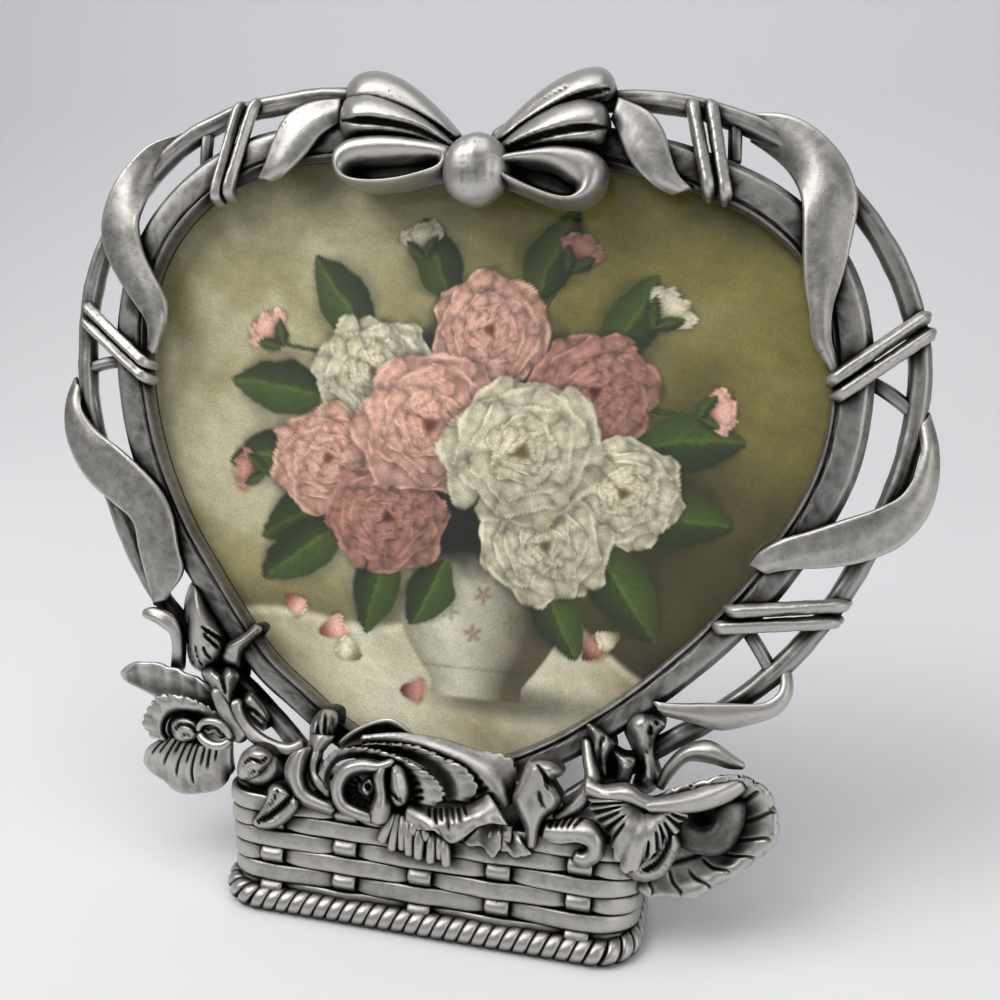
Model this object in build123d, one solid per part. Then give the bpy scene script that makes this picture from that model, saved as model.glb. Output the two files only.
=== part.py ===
# Heart shaped picture frame in cast pewter. A heart rim and an outer vine are tied together with wire and
# ribbon, a bow sits at the top, flowers fill the foot, and a woven basket with a rope foot carries it all.
# A glass pane, a print, a card, a velvet covered board, turn buttons and a hinged easel strut close the back.
# Sizes are in millimetres. The frame is drawn upright: x runs to the right, z runs up from the foot, and
# depth runs from the middle of the vine towards the viewer. The whole frame then leans back on its strut.
from build123d import *
import math
import os

# Size and stance of the whole frame
heart_width = 150.0
heart_height = 150.0
relief_depth = 10.0
lean_angle = 13.56
overrun = 5.0
bite = 0.25
crumb_share = 0.02

# Heart rim, seen in section
rim_side_width = 6.4
rim_foot_width = 4.5
rim_back_depth = -6.5
rim_shoulder_depth = 1.6
rim_front_depth = 3.5
rim_bevel = 1.3
ledge_depth = -0.5
ledge_width = 1.5
rim_wide_share = 0.55
rim_narrow_share = 0.175

# What the rim holds, from the glass to the back
pane_thickness = 2.0
print_thickness = 0.25
card_thickness = 0.75
board_thickness = 2.8
pane_clearance = 0.2

# Rods, wires and ribbons
vine_diameter = 3.5
vine_bend_radius = 12.0
wire_diameter = 2.0
twig_diameter = 2.2
ribbon_thickness = 1.4
stem_diameter = 2.8
stem_bend_radius = 4.0

# Bow
knot_diameter = 10.6
knot_depth = 6.0
knot_shares = (0.006, 0.868)
edge_back_share = 0.92
edge_front_share = 0.78

# Basket and its rope foot
basket_base_width = 68.0
basket_top_width = 74.0
basket_base_front = 7.6
basket_top_front = 9.0
basket_back = 6.5
basket_height = 21.0
basket_corner_radius = 6.0
rope_diameter = 4.4
rope_inset = 0.9
weave_thickness = 0.9
stake_thickness = 1.2
weave_row_pitch = 3.05
weave_row_gap = 0.45
weave_row_count = 5
weave_start_height = 5.0
stake_pitch = 13.5
stake_width = 3.6
stake_half_count = 2
weave_back_gap = 2.5
foot_level_depth = 8.0
foot_flat = 0.3

# Easel strut and its hinge
hinge_height = 98.0
hinge_width = 22.0
hinge_leaf_height = 14.0
hinge_leaf_thickness = 0.8
knuckle_radius = 1.7
knuckle_share = 0.36
hinge_gap = 0.3
hinge_board_gap = 0.2
hinge_pin_diameter = 1.6
pin_clearance = 0.05
strut_angle = 15.0
strut_length = 96.0
strut_top_width = 20.0
strut_foot_width = 34.0
strut_thickness = 2.5
strut_fit_gap = 0.3
rivet_diameter = 1.6
rivet_head_diameter = 3.0
rivet_head_height = 0.6
rivet_spread_share = 0.62
rivet_level_share = 0.55
rivet_depth_share = 0.7

# Turn buttons that hold the board in
button_length = 10.0
button_width = 3.6
button_thickness = 0.8
button_gap = 0.1
button_point_numbers = (5, 14, 26, 35)

# The heart's opening, clockwise from the dip at its top, as shares of the frame's width and height
opening_shares = [
    (0.000, 0.849), (0.073, 0.864), (0.147, 0.866), (0.213, 0.852), (0.270, 0.832),
    (0.320, 0.807), (0.364, 0.769), (0.391, 0.727), (0.404, 0.677), (0.408, 0.623),
    (0.403, 0.567), (0.389, 0.520), (0.367, 0.475), (0.335, 0.420), (0.295, 0.368),
    (0.253, 0.324), (0.212, 0.285), (0.167, 0.248), (0.123, 0.219), (0.070, 0.192),
    (0.000, 0.175), (-0.070, 0.191), (-0.123, 0.215), (-0.168, 0.247), (-0.213, 0.281),
    (-0.257, 0.331), (-0.296, 0.383), (-0.332, 0.433), (-0.359, 0.481), (-0.378, 0.527),
    (-0.393, 0.577), (-0.401, 0.630), (-0.403, 0.683), (-0.395, 0.733), (-0.375, 0.776),
    (-0.344, 0.815), (-0.301, 0.847), (-0.247, 0.868), (-0.173, 0.877), (-0.080, 0.869),
]

# The outer vine's two halves, from under the bow down to the flowers
vine_left_shares = [
    (-0.020, 0.897), (-0.093, 0.935), (-0.170, 0.953), (-0.243, 0.947), (-0.307, 0.933),
    (-0.363, 0.905), (-0.408, 0.868), (-0.447, 0.821), (-0.473, 0.773), (-0.489, 0.723),
    (-0.495, 0.670), (-0.493, 0.617), (-0.485, 0.567), (-0.471, 0.517), (-0.451, 0.465),
    (-0.425, 0.413), (-0.395, 0.364), (-0.357, 0.319), (-0.313, 0.281), (-0.267, 0.249),
    (-0.221, 0.212), (-0.181, 0.175), (-0.140, 0.133),
]
vine_right_shares = [
    (0.020, 0.897), (0.087, 0.929), (0.163, 0.940), (0.230, 0.934), (0.289, 0.917),
    (0.343, 0.892), (0.392, 0.856), (0.432, 0.812), (0.464, 0.763), (0.485, 0.711),
    (0.495, 0.655), (0.493, 0.599), (0.484, 0.543), (0.466, 0.488), (0.444, 0.435),
    (0.419, 0.388), (0.385, 0.340), (0.345, 0.297), (0.300, 0.260), (0.251, 0.225),
    (0.199, 0.187), (0.147, 0.147),
]

# The two ends of each binding wire and of each cross twig: the vine's end first
binding_shares = [
    ((-0.296, 0.943), (-0.317, 0.823)),
    ((-0.275, 0.947), (-0.301, 0.827)),
    ((0.244, 0.934), (0.272, 0.827)),
    ((0.264, 0.933), (0.289, 0.823)),
    ((-0.492, 0.700), (-0.387, 0.624)),
    ((-0.493, 0.682), (-0.387, 0.607)),
    ((0.497, 0.707), (0.403, 0.631)),
    ((0.503, 0.690), (0.411, 0.616)),
    ((0.439, 0.405), (0.312, 0.390)),
    ((0.432, 0.386), (0.300, 0.372)),
]
twig_shares = [
    ((-0.337, 0.917), (-0.339, 0.870)),
    ((-0.493, 0.621), (-0.437, 0.635)),
    ((0.493, 0.609), (0.443, 0.643)),
    ((0.291, 0.916), (0.293, 0.867)),
    ((0.368, 0.322), (0.333, 0.373)),
]

# Ribbons, station by station: a point of the outer edge and one of the inner edge, each with a share of
# the relief's depth
ribbon_shares = {
    "ribbon_neck_left": [
        ((-0.155, 0.943, 0.30), (-0.156, 0.917, 0.32)),
        ((-0.193, 0.940, 0.34), (-0.176, 0.901, 0.40)),
        ((-0.222, 0.925, 0.38), (-0.186, 0.887, 0.44)),
        ((-0.237, 0.895, 0.40), (-0.198, 0.874, 0.44)),
        ((-0.246, 0.868, 0.40), (-0.215, 0.860, 0.40)),
        ((-0.259, 0.852, 0.30), (-0.238, 0.852, 0.26)),
    ],
    "ribbon_upper_left": [
        ((-0.369, 0.916, 0.02), (-0.389, 0.886, 0.02)),
        ((-0.407, 0.900, 0.19), (-0.402, 0.873, 0.22)),
        ((-0.436, 0.870, 0.28), (-0.409, 0.855, 0.34)),
        ((-0.457, 0.836, 0.30), (-0.412, 0.827, 0.39)),
        ((-0.466, 0.799, 0.30), (-0.410, 0.797, 0.42)),
        ((-0.460, 0.766, 0.31), (-0.402, 0.767, 0.43)),
        ((-0.439, 0.733, 0.34), (-0.387, 0.739, 0.43)),
        ((-0.414, 0.703, 0.37), (-0.370, 0.712, 0.42)),
        ((-0.396, 0.682, 0.38), (-0.369, 0.689, 0.34)),
        ((-0.391, 0.662, 0.30), (-0.381, 0.667, 0.20)),
    ],
    "ribbon_lower_left": [
        ((-0.512, 0.612, -0.06), (-0.500, 0.594, 0.06)),
        ((-0.515, 0.577, 0.13), (-0.489, 0.573, 0.26)),
        ((-0.511, 0.540, 0.22), (-0.463, 0.546, 0.36)),
        ((-0.494, 0.505, 0.26), (-0.427, 0.526, 0.42)),
        ((-0.469, 0.477, 0.29), (-0.395, 0.503, 0.43)),
        ((-0.436, 0.456, 0.31), (-0.366, 0.477, 0.43)),
        ((-0.407, 0.436, 0.32), (-0.349, 0.446, 0.42)),
        ((-0.398, 0.403, 0.30), (-0.339, 0.407, 0.40)),
        ((-0.390, 0.373, 0.27), (-0.334, 0.376, 0.36)),
        ((-0.375, 0.330, 0.22), (-0.361, 0.341, 0.26)),
    ],
    "ribbon_neck_right": [
        ((0.163, 0.937, 0.30), (0.159, 0.914, 0.32)),
        ((0.199, 0.920, 0.35), (0.168, 0.895, 0.39)),
        ((0.217, 0.898, 0.39), (0.177, 0.874, 0.43)),
        ((0.226, 0.872, 0.41), (0.190, 0.857, 0.42)),
        ((0.235, 0.851, 0.39), (0.209, 0.842, 0.36)),
        ((0.252, 0.838, 0.29), (0.231, 0.834, 0.24)),
    ],
    "ribbon_upper_right": [
        ((0.299, 0.924, -0.02), (0.317, 0.896, -0.02)),
        ((0.342, 0.918, 0.17), (0.349, 0.884, 0.20)),
        ((0.376, 0.898, 0.27), (0.360, 0.863, 0.34)),
        ((0.405, 0.866, 0.30), (0.364, 0.833, 0.40)),
        ((0.419, 0.828, 0.30), (0.365, 0.803, 0.42)),
        ((0.417, 0.789, 0.31), (0.367, 0.770, 0.43)),
        ((0.410, 0.749, 0.35), (0.371, 0.738, 0.42)),
        ((0.401, 0.716, 0.38), (0.378, 0.709, 0.39)),
        ((0.400, 0.686, 0.34), (0.386, 0.684, 0.26)),
    ],
    "ribbon_lower_right": [
        ((0.506, 0.614, -0.06), (0.498, 0.596, 0.04)),
        ((0.516, 0.576, 0.14), (0.500, 0.564, 0.26)),
        ((0.518, 0.537, 0.23), (0.484, 0.527, 0.36)),
        ((0.509, 0.501, 0.27), (0.459, 0.510, 0.41)),
        ((0.486, 0.471, 0.30), (0.427, 0.496, 0.43)),
        ((0.454, 0.454, 0.33), (0.395, 0.482, 0.43)),
        ((0.418, 0.444, 0.36), (0.365, 0.470, 0.42)),
        ((0.378, 0.440, 0.38), (0.345, 0.454, 0.32)),
        ((0.352, 0.433, 0.29), (0.336, 0.437, 0.18)),
    ],
    "ribbon_tail_right": [
        ((0.384, 0.335, -0.06), (0.377, 0.326, 0.02)),
        ((0.389, 0.305, 0.10), (0.377, 0.305, 0.20)),
        ((0.378, 0.283, 0.18), (0.359, 0.292, 0.28)),
        ((0.353, 0.269, 0.22), (0.332, 0.290, 0.32)),
        ((0.320, 0.258, 0.26), (0.297, 0.287, 0.36)),
        ((0.288, 0.264, 0.30), (0.268, 0.283, 0.38)),
        ((0.255, 0.270, 0.34), (0.242, 0.282, 0.38)),
    ],
}

# The bow's loops, front ones first: shares of the relief's depth at the back and the front, and the outline
loop_shares = {
    "bow_loop_lower_left": (0.36, 0.94, [
        (-0.009, 0.876), (-0.057, 0.889), (-0.095, 0.893), (-0.130, 0.890), (-0.149, 0.878),
        (-0.152, 0.860), (-0.142, 0.844), (-0.118, 0.835), (-0.083, 0.833), (-0.047, 0.840),
        (-0.012, 0.851)]),
    "bow_loop_lower_right": (0.30, 0.94, [
        (0.035, 0.863), (0.077, 0.874), (0.109, 0.878), (0.141, 0.874), (0.159, 0.861),
        (0.161, 0.843), (0.154, 0.826), (0.135, 0.815), (0.109, 0.815), (0.077, 0.826),
        (0.039, 0.843)]),
    "bow_loop_middle_left": (0.36, 0.88, [
        (-0.012, 0.885), (-0.047, 0.915), (-0.083, 0.932), (-0.115, 0.941), (-0.139, 0.936),
        (-0.148, 0.918), (-0.144, 0.897), (-0.127, 0.887), (-0.089, 0.887), (-0.051, 0.883),
        (-0.019, 0.874)]),
    "bow_loop_middle_right": (0.36, 0.88, [
        (0.039, 0.879), (0.071, 0.907), (0.103, 0.924), (0.135, 0.929), (0.156, 0.918),
        (0.160, 0.898), (0.152, 0.878), (0.122, 0.872), (0.083, 0.874), (0.048, 0.869)]),
    "bow_loop_upper_left": (0.16, 0.62, [
        (-0.010, 0.900), (-0.042, 0.933), (-0.075, 0.957), (-0.107, 0.969), (-0.133, 0.966),
        (-0.146, 0.950), (-0.142, 0.932), (-0.107, 0.919), (-0.055, 0.902), (-0.020, 0.888)]),
    "bow_loop_upper_right": (0.16, 0.62, [
        (0.031, 0.893), (0.061, 0.926), (0.093, 0.950), (0.123, 0.963), (0.147, 0.964),
        (0.161, 0.951), (0.161, 0.932), (0.132, 0.920), (0.081, 0.901), (0.039, 0.883)]),
}
hollow_shares = {
    "bow_loop_lower_left": [
        (-0.028, 0.863), (-0.057, 0.868), (-0.089, 0.869), (-0.118, 0.866), (-0.132, 0.856),
        (-0.126, 0.846), (-0.104, 0.842), (-0.073, 0.844), (-0.047, 0.849), (-0.030, 0.856)],
    "bow_loop_lower_right": [
        (0.055, 0.856), (0.074, 0.861), (0.099, 0.859), (0.118, 0.847), (0.129, 0.833),
        (0.124, 0.825), (0.110, 0.825), (0.083, 0.833), (0.058, 0.846)],
}

# Petals, buds and leaves, front ones first, given as the loops are. A node can hold several of them.
petal_shares = {
    "rose_heart": [
        (0.90, 1.45, [
            (-0.102, 0.173), (-0.089, 0.190), (-0.059, 0.200), (-0.033, 0.198), (-0.016, 0.187),
            (-0.011, 0.163), (-0.019, 0.143), (-0.034, 0.126), (-0.050, 0.122), (-0.066, 0.131),
            (-0.088, 0.133), (-0.101, 0.150)]),
    ],
    "rose_front_petal": [
        (0.80, 1.30, [
            (-0.018, 0.142), (0.002, 0.153), (0.033, 0.157), (0.071, 0.169), (0.094, 0.147),
            (0.109, 0.125), (0.130, 0.116), (0.112, 0.108), (0.085, 0.103), (0.063, 0.115),
            (0.039, 0.111), (0.017, 0.121), (-0.008, 0.123)]),
    ],
    "centre_leaves": [
        (0.60, 1.15, [
            (0.108, 0.197), (0.115, 0.210), (0.132, 0.212), (0.148, 0.206), (0.153, 0.191),
            (0.149, 0.171), (0.143, 0.152), (0.134, 0.136), (0.129, 0.115), (0.115, 0.111),
            (0.107, 0.130), (0.098, 0.153), (0.104, 0.175)]),
        (0.84, 1.30, [
            (0.135, 0.131), (0.156, 0.136), (0.171, 0.132), (0.170, 0.117), (0.185, 0.110),
            (0.201, 0.120), (0.206, 0.138), (0.199, 0.154), (0.186, 0.161), (0.168, 0.153),
            (0.145, 0.144)]),
    ],
    "rose_fringe": [
        (0.86, 1.15, [
            (-0.050, 0.106), (-0.044, 0.123), (-0.019, 0.128), (0.019, 0.124), (0.038, 0.114),
            (0.034, 0.085), (0.013, 0.084), (-0.012, 0.085), (-0.043, 0.092)]),
    ],
    "rose_left_petals": [
        (0.72, 1.20, [
            (-0.165, 0.169), (-0.161, 0.187), (-0.147, 0.197), (-0.133, 0.189), (-0.128, 0.168),
            (-0.118, 0.150), (-0.101, 0.138), (-0.104, 0.127), (-0.123, 0.124), (-0.143, 0.129),
            (-0.159, 0.146)]),
        (0.30, 0.86, [
            (-0.151, 0.201), (-0.147, 0.219), (-0.137, 0.230), (-0.122, 0.234), (-0.115, 0.223),
            (-0.116, 0.200), (-0.128, 0.183), (-0.146, 0.183)]),
    ],
    "rose_serrated_petal": [
        (0.70, 1.15, [
            (-0.134, 0.167), (-0.126, 0.190), (-0.103, 0.206), (-0.065, 0.212), (-0.025, 0.207),
            (0.006, 0.196), (0.025, 0.175), (0.023, 0.152), (-0.008, 0.146), (-0.059, 0.143),
            (-0.103, 0.143), (-0.127, 0.149)]),
    ],
    "rose_back_petal": [
        (0.32, 0.90, [
            (-0.117, 0.193), (-0.101, 0.218), (-0.070, 0.231), (-0.047, 0.233), (-0.023, 0.219),
            (0.011, 0.214), (0.050, 0.211), (0.091, 0.211), (0.096, 0.187), (0.090, 0.152),
            (0.050, 0.142), (-0.014, 0.142), (-0.079, 0.148), (-0.111, 0.164)]),
    ],
    "camellia_heart": [
        (0.66, 1.00, [
            (-0.329, 0.195), (-0.315, 0.208), (-0.287, 0.211), (-0.260, 0.207), (-0.244, 0.193),
            (-0.254, 0.177), (-0.283, 0.174), (-0.316, 0.179)]),
    ],
    "camellia_middle_petal": [
        (0.34, 0.72, [
            (-0.376, 0.190), (-0.367, 0.205), (-0.362, 0.219), (-0.346, 0.230), (-0.317, 0.229),
            (-0.287, 0.221), (-0.261, 0.209), (-0.251, 0.191), (-0.265, 0.173), (-0.311, 0.169),
            (-0.349, 0.170)]),
    ],
    "small_bud": [
        (0.65, 1.15, [
            (-0.232, 0.158), (-0.225, 0.177), (-0.210, 0.185), (-0.189, 0.183), (-0.174, 0.171),
            (-0.175, 0.152), (-0.188, 0.139), (-0.207, 0.136), (-0.223, 0.142)]),
    ],
    "left_bud_collar": [
        (0.05, 0.70, [
            (-0.302, 0.253), (-0.293, 0.267), (-0.272, 0.272), (-0.253, 0.268), (-0.248, 0.255),
            (-0.254, 0.237), (-0.255, 0.215), (-0.272, 0.219), (-0.294, 0.238)]),
    ],
    "camellia_lower_petal": [
        (-0.10, 0.42, [
            (-0.381, 0.147), (-0.371, 0.167), (-0.341, 0.177), (-0.295, 0.180), (-0.259, 0.170),
            (-0.252, 0.151), (-0.259, 0.128), (-0.282, 0.111), (-0.312, 0.104), (-0.340, 0.109),
            (-0.364, 0.125)]),
    ],
    "camellia_upper_petal": [
        (-0.10, 0.46, [
            (-0.419, 0.239), (-0.406, 0.253), (-0.385, 0.260), (-0.353, 0.256), (-0.317, 0.252),
            (-0.288, 0.239), (-0.267, 0.216), (-0.275, 0.196), (-0.317, 0.203), (-0.354, 0.209),
            (-0.379, 0.221), (-0.405, 0.229)]),
    ],
    "left_bud": [
        (-0.15, 0.65, [
            (-0.332, 0.346), (-0.323, 0.365), (-0.307, 0.359), (-0.290, 0.331), (-0.272, 0.306),
            (-0.269, 0.285), (-0.280, 0.264), (-0.301, 0.255), (-0.320, 0.263), (-0.330, 0.288),
            (-0.334, 0.320)]),
    ],
    "left_bud_sepals": [
        (-0.12, 0.28, [
            (-0.400, 0.316), (-0.386, 0.325), (-0.363, 0.323), (-0.339, 0.309), (-0.332, 0.285),
            (-0.336, 0.258), (-0.352, 0.246), (-0.356, 0.272), (-0.364, 0.296), (-0.382, 0.305)]),
        (0.00, 0.50, [
            (-0.227, 0.316), (-0.237, 0.322), (-0.254, 0.311), (-0.277, 0.297), (-0.286, 0.278),
            (-0.273, 0.263), (-0.255, 0.265), (-0.248, 0.285), (-0.235, 0.301)]),
    ],
    "left_leaves": [
        (0.15, 0.45, [
            (-0.255, 0.224), (-0.240, 0.239), (-0.226, 0.230), (-0.213, 0.215), (-0.212, 0.205),
            (-0.222, 0.191), (-0.241, 0.200)]),
        (0.84, 1.10, [
            (-0.208, 0.098), (-0.194, 0.092), (-0.174, 0.097), (-0.157, 0.111), (-0.148, 0.127),
            (-0.154, 0.137), (-0.172, 0.146), (-0.185, 0.143), (-0.190, 0.127), (-0.198, 0.112)]),
    ],
    "lily_trumpet_petal": [
        (0.75, 1.30, [
            (0.182, 0.189), (0.203, 0.200), (0.226, 0.199), (0.248, 0.190), (0.273, 0.196),
            (0.292, 0.184), (0.281, 0.167), (0.259, 0.154), (0.252, 0.131), (0.228, 0.106),
            (0.219, 0.131), (0.207, 0.152), (0.191, 0.168)]),
    ],
    "lily_inner_petals": [
        (0.70, 1.20, [
            (0.283, 0.159), (0.288, 0.146), (0.305, 0.142), (0.321, 0.149), (0.330, 0.170),
            (0.330, 0.192), (0.311, 0.190), (0.291, 0.177)]),
        (0.68, 1.10, [
            (0.228, 0.104), (0.240, 0.124), (0.250, 0.144), (0.265, 0.157), (0.282, 0.153),
            (0.284, 0.137), (0.278, 0.118), (0.268, 0.102), (0.251, 0.095), (0.236, 0.095)]),
    ],
    "lily_outer_petal": [
        (0.15, 0.80, [
            (0.229, 0.175), (0.265, 0.191), (0.300, 0.205), (0.333, 0.214), (0.352, 0.213),
            (0.368, 0.200), (0.374, 0.182), (0.382, 0.165), (0.377, 0.147), (0.362, 0.133),
            (0.347, 0.128), (0.341, 0.111), (0.320, 0.097), (0.298, 0.086), (0.272, 0.084),
            (0.245, 0.068), (0.222, 0.073), (0.223, 0.107), (0.223, 0.143)]),
    ],
    "lily_buds": [
        (0.30, 0.80, [
            (0.203, 0.225), (0.217, 0.229), (0.231, 0.221), (0.229, 0.200), (0.221, 0.186),
            (0.209, 0.188)]),
        (0.05, 0.65, [
            (0.172, 0.249), (0.183, 0.247), (0.201, 0.236), (0.207, 0.215), (0.207, 0.193),
            (0.196, 0.182), (0.183, 0.193), (0.175, 0.215)]),
        (-0.05, 0.55, [
            (0.213, 0.247), (0.215, 0.263), (0.231, 0.272), (0.245, 0.269), (0.258, 0.255),
            (0.249, 0.239), (0.250, 0.217), (0.257, 0.193), (0.244, 0.177), (0.224, 0.183),
            (0.224, 0.206), (0.223, 0.226)]),
    ],
    "lily_leaves": [
        (0.40, 0.85, [
            (0.175, 0.234), (0.182, 0.216), (0.187, 0.196), (0.185, 0.178), (0.166, 0.157),
            (0.148, 0.142), (0.141, 0.142), (0.149, 0.161), (0.164, 0.182), (0.173, 0.206)]),
        (0.05, 0.50, [
            (0.250, 0.193), (0.262, 0.222), (0.281, 0.241), (0.302, 0.249), (0.324, 0.242),
            (0.340, 0.229), (0.347, 0.220), (0.330, 0.217), (0.311, 0.222), (0.294, 0.217),
            (0.281, 0.197), (0.268, 0.180)]),
    ],
}

# The curling stem from the left bud to the rose
stem_shares = [
    (-0.272, 0.232, 0.40), (-0.261, 0.210, 0.46), (-0.241, 0.193, 0.52),
    (-0.214, 0.183, 0.56), (-0.180, 0.180, 0.54), (-0.157, 0.188, 0.50),
]


def spot(x_share, z_share, depth):
    """A point of the upright frame, from shares of its width and height and a depth."""
    return Vector(x_share * heart_width, -depth, z_share * heart_height)


def spline_wire(points):
    return Wire([Spline(*points, periodic=True)])


def middle_of(points):
    return sum(points, Vector(0, 0, 0)) / len(points)


def outline_wire(shares, depth, size_share=1.0):
    """A closed smooth outline at one depth, drawn in towards its middle by size_share."""
    points = [spot(x, z, depth) for x, z in shares]
    middle = middle_of(points)
    return spline_wire([middle + (point - middle) * size_share for point in points])


def ruled(wires):
    return Solid.make_loft(wires, ruled=True)


def petal(shares, back, front):
    """A plate with rounded sides: widest halfway, drawn in at the back and more at the front."""
    halfway = (back + front) / 2
    return ruled([outline_wire(shares, back, edge_back_share), outline_wire(shares, halfway),
                  outline_wire(shares, front, edge_front_share)])


def rim_width_at(z_share):
    """The heart rim is narrow at its foot and widens towards its sides."""
    step = (z_share - rim_narrow_share) / (rim_wide_share - rim_narrow_share)
    return rim_foot_width + (rim_side_width - rim_foot_width) * min(max(step, 0), 1)


def heart_normals():
    """The outward direction at each point of the heart's opening."""
    points = [spot(x, z, 0) for x, z in opening_shares]
    normals = []
    for index, point in enumerate(points):
        along = points[(index + 1) % len(points)] - points[index - 1]
        normals.append(Vector(-along.Z, 0, along.X).normalized())
    return normals


def heart_wire(depth, outset, with_rim=False):
    """The heart's opening at one depth, moved outwards by outset, and by the rim's width as well if asked."""
    points = []
    for (x, z), normal in zip(opening_shares, heart_normals()):
        reach = outset + (rim_width_at(z) if with_rim else 0)
        points.append(spot(x, z, depth) + normal * reach)
    return spline_wire(points)


def heart_slab(back, front, outset):
    return ruled([heart_wire(back, outset), heart_wire(front, outset)])


def tube(path, diameter):
    """A round rod along a path of straight runs and arcs."""
    start = Plane(origin=path @ 0, z_dir=path % 0)
    return sweep(start * Circle(diameter / 2), path=path)


def vine(shares):
    points = [spot(x, z, 0) for x, z in shares]
    return tube(FilletPolyline(*points, radius=vine_bend_radius), vine_diameter)


def twig(ends):
    (x_a, z_a), (x_b, z_b) = ends
    return tube(Line(spot(x_a, z_a, 0), spot(x_b, z_b, 0)), twig_diameter)


def binding_wire(ends):
    """One wire: it comes up round the vine, lies over the front and goes down inside the heart's opening."""
    (x_a, z_a), (x_b, z_b) = ends
    outer, inner = spot(x_a, z_a, 0), spot(x_b, z_b, 0)
    along = (inner - outer).normalized()
    outer, inner = outer + along * wire_diameter / 2, inner - along * wire_diameter / 2
    over_vine = vine_diameter / 2 + wire_diameter / 2 - bite
    over_rim = rim_front_depth + wire_diameter / 2 - bite
    toward = Vector(0, -1, 0)
    path = FilletPolyline(outer - toward * vine_diameter / 2, outer + toward * over_vine,
                          inner + toward * over_rim, inner + toward * wire_diameter / 2,
                          radius=wire_diameter / 2)
    return tube(path, wire_diameter)


def ribbon(stations):
    """A strip between two edges. Each station gives a point of each edge: two shares and a share of the depth."""
    pairs = [tuple(spot(x, z, depth * relief_depth) for x, z, depth in ends) for ends in stations]
    middles = [(a + b) / 2 for a, b in pairs]
    last = len(pairs) - 1
    sections = []
    for index, (a, b) in enumerate(pairs):
        along = middles[min(index + 1, last)] - middles[max(index - 1, 0)]
        up = (b - a).cross(along).normalized() * ribbon_thickness / 2
        sections.append(Wire.make_polygon([a + up, b + up, b - up, a - up], close=True))
    return Solid.make_loft(sections, ruled=False)


def stem(shares):
    points = [spot(x, z, depth * relief_depth) for x, z, depth in shares]
    return tube(FilletPolyline(*points, radius=stem_bend_radius), stem_diameter)


def basket_form(outset):
    """The basket's outer shape, a little wider at the top, grown by outset all round except at the back."""
    faces = []
    for level, width, front in ((-overrun, basket_base_width, basket_base_front),
                                (basket_height, basket_top_width, basket_top_front)):
        deep = front + basket_back + outset
        middle = Plane(origin=(0, (basket_back - front - outset) / 2, level))
        faces.append(middle * RectangleRounded(width + outset * 2, deep, basket_corner_radius))
    return loft(faces, ruled=True)


def row_level(row):
    return weave_start_height + row * weave_row_pitch


def weave_slab(row):
    """The space of one row of the weave, in front of the basket's back."""
    width, tall = basket_top_width + overrun * 2, weave_row_pitch - weave_row_gap
    deep = basket_top_front + overrun + basket_back - weave_back_gap
    return Pos(0, basket_back - weave_back_gap - deep / 2, row_level(row) + tall / 2) * Box(width, deep, tall)


def stake_slab(number, row):
    """The space where one upright stake shows in front of one row."""
    tall = weave_row_pitch - weave_row_gap
    deep = basket_top_front + overrun
    return Pos(number * stake_pitch, -deep / 2, row_level(row) + tall / 2) * Box(stake_width, deep, tall)


def stakes_in_front(row):
    return [number for number in range(-stake_half_count, stake_half_count + 1) if (number + row) % 2]


def weave():
    """The rows of the weave, and the stakes where they pass in front of a row."""
    core, band_form, stake_form = basket_form(0), basket_form(weave_thickness), basket_form(stake_thickness)
    bands, stakes = [], []
    for row in range(weave_row_count):
        bands.append((band_form & weave_slab(row)) - core)
        stakes += [(stake_form & stake_slab(number, row)) - core for number in stakes_in_front(row)]
    return bands, stakes


def solids_of(shape):
    """The solids of a shape, or of a list of shapes, without the crumbs that a cut can leave."""
    found = []
    for one in shape if isinstance(shape, list) else [shape]:
        solids = one.solids() if one else []
        largest = max((solid.volume for solid in solids), default=0)
        found += [solid for solid in solids if solid.volume > largest * crumb_share]
    return found


def box_of(shape):
    """The low and the high corner of a shape's box."""
    box = shape.bounding_box(optimal=False)
    return tuple(box.min), tuple(box.max)


def boxes_meet(a, b):
    """Whether two boxes meet."""
    return all(low_a < high_b and low_b < high_a for low_a, high_a, low_b, high_b in zip(*a, *b))


def place(name, shape):
    """Adds a piece. It is cut by the pieces placed before it, so that it seats on them face to face."""
    cast[name] = []
    for solid in solids_of(shape):
        box, left = box_of(solid), solid
        for other, other_box in placed:
            if left.solids() and boxes_meet(box, other_box):
                left = left - other
        placed.append((solid, box))
        cast[name] += solids_of(left)


def lean(shape):
    """Leans an upright shape back, and puts the floor under the foot at zero."""
    return Pos(0, foot_shift, -foot_drop) * Rot(-lean_angle, 0, 0) * shape


def upright(shape):
    """The other way round: from the leaning frame on the floor to the upright one."""
    return Rot(lean_angle, 0, 0) * Pos(0, -foot_shift, foot_drop) * shape


def floor_cut(solid):
    """Takes off what would reach below the floor."""
    reach = heart_width + heart_height
    return solid - Pos(0, 0, -reach / 2) * Box(reach, reach, reach)


def rope_foot():
    """The rope lies flat on the floor round the front and the sides of the basket, in the leaning frame."""
    half = basket_base_width / 2 + rope_diameter / 2 - rope_inset
    front = foot_shift - (basket_base_front + rope_diameter / 2 - rope_inset) * math.cos(lean_rad)
    back = foot_shift + basket_back * math.cos(lean_rad)
    level = rope_diameter / 2 - foot_flat
    path = FilletPolyline((-half, back, level), (-half, front, level), (half, front, level), (half, back, level),
                          radius=basket_corner_radius)
    return tube(path, rope_diameter)


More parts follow.
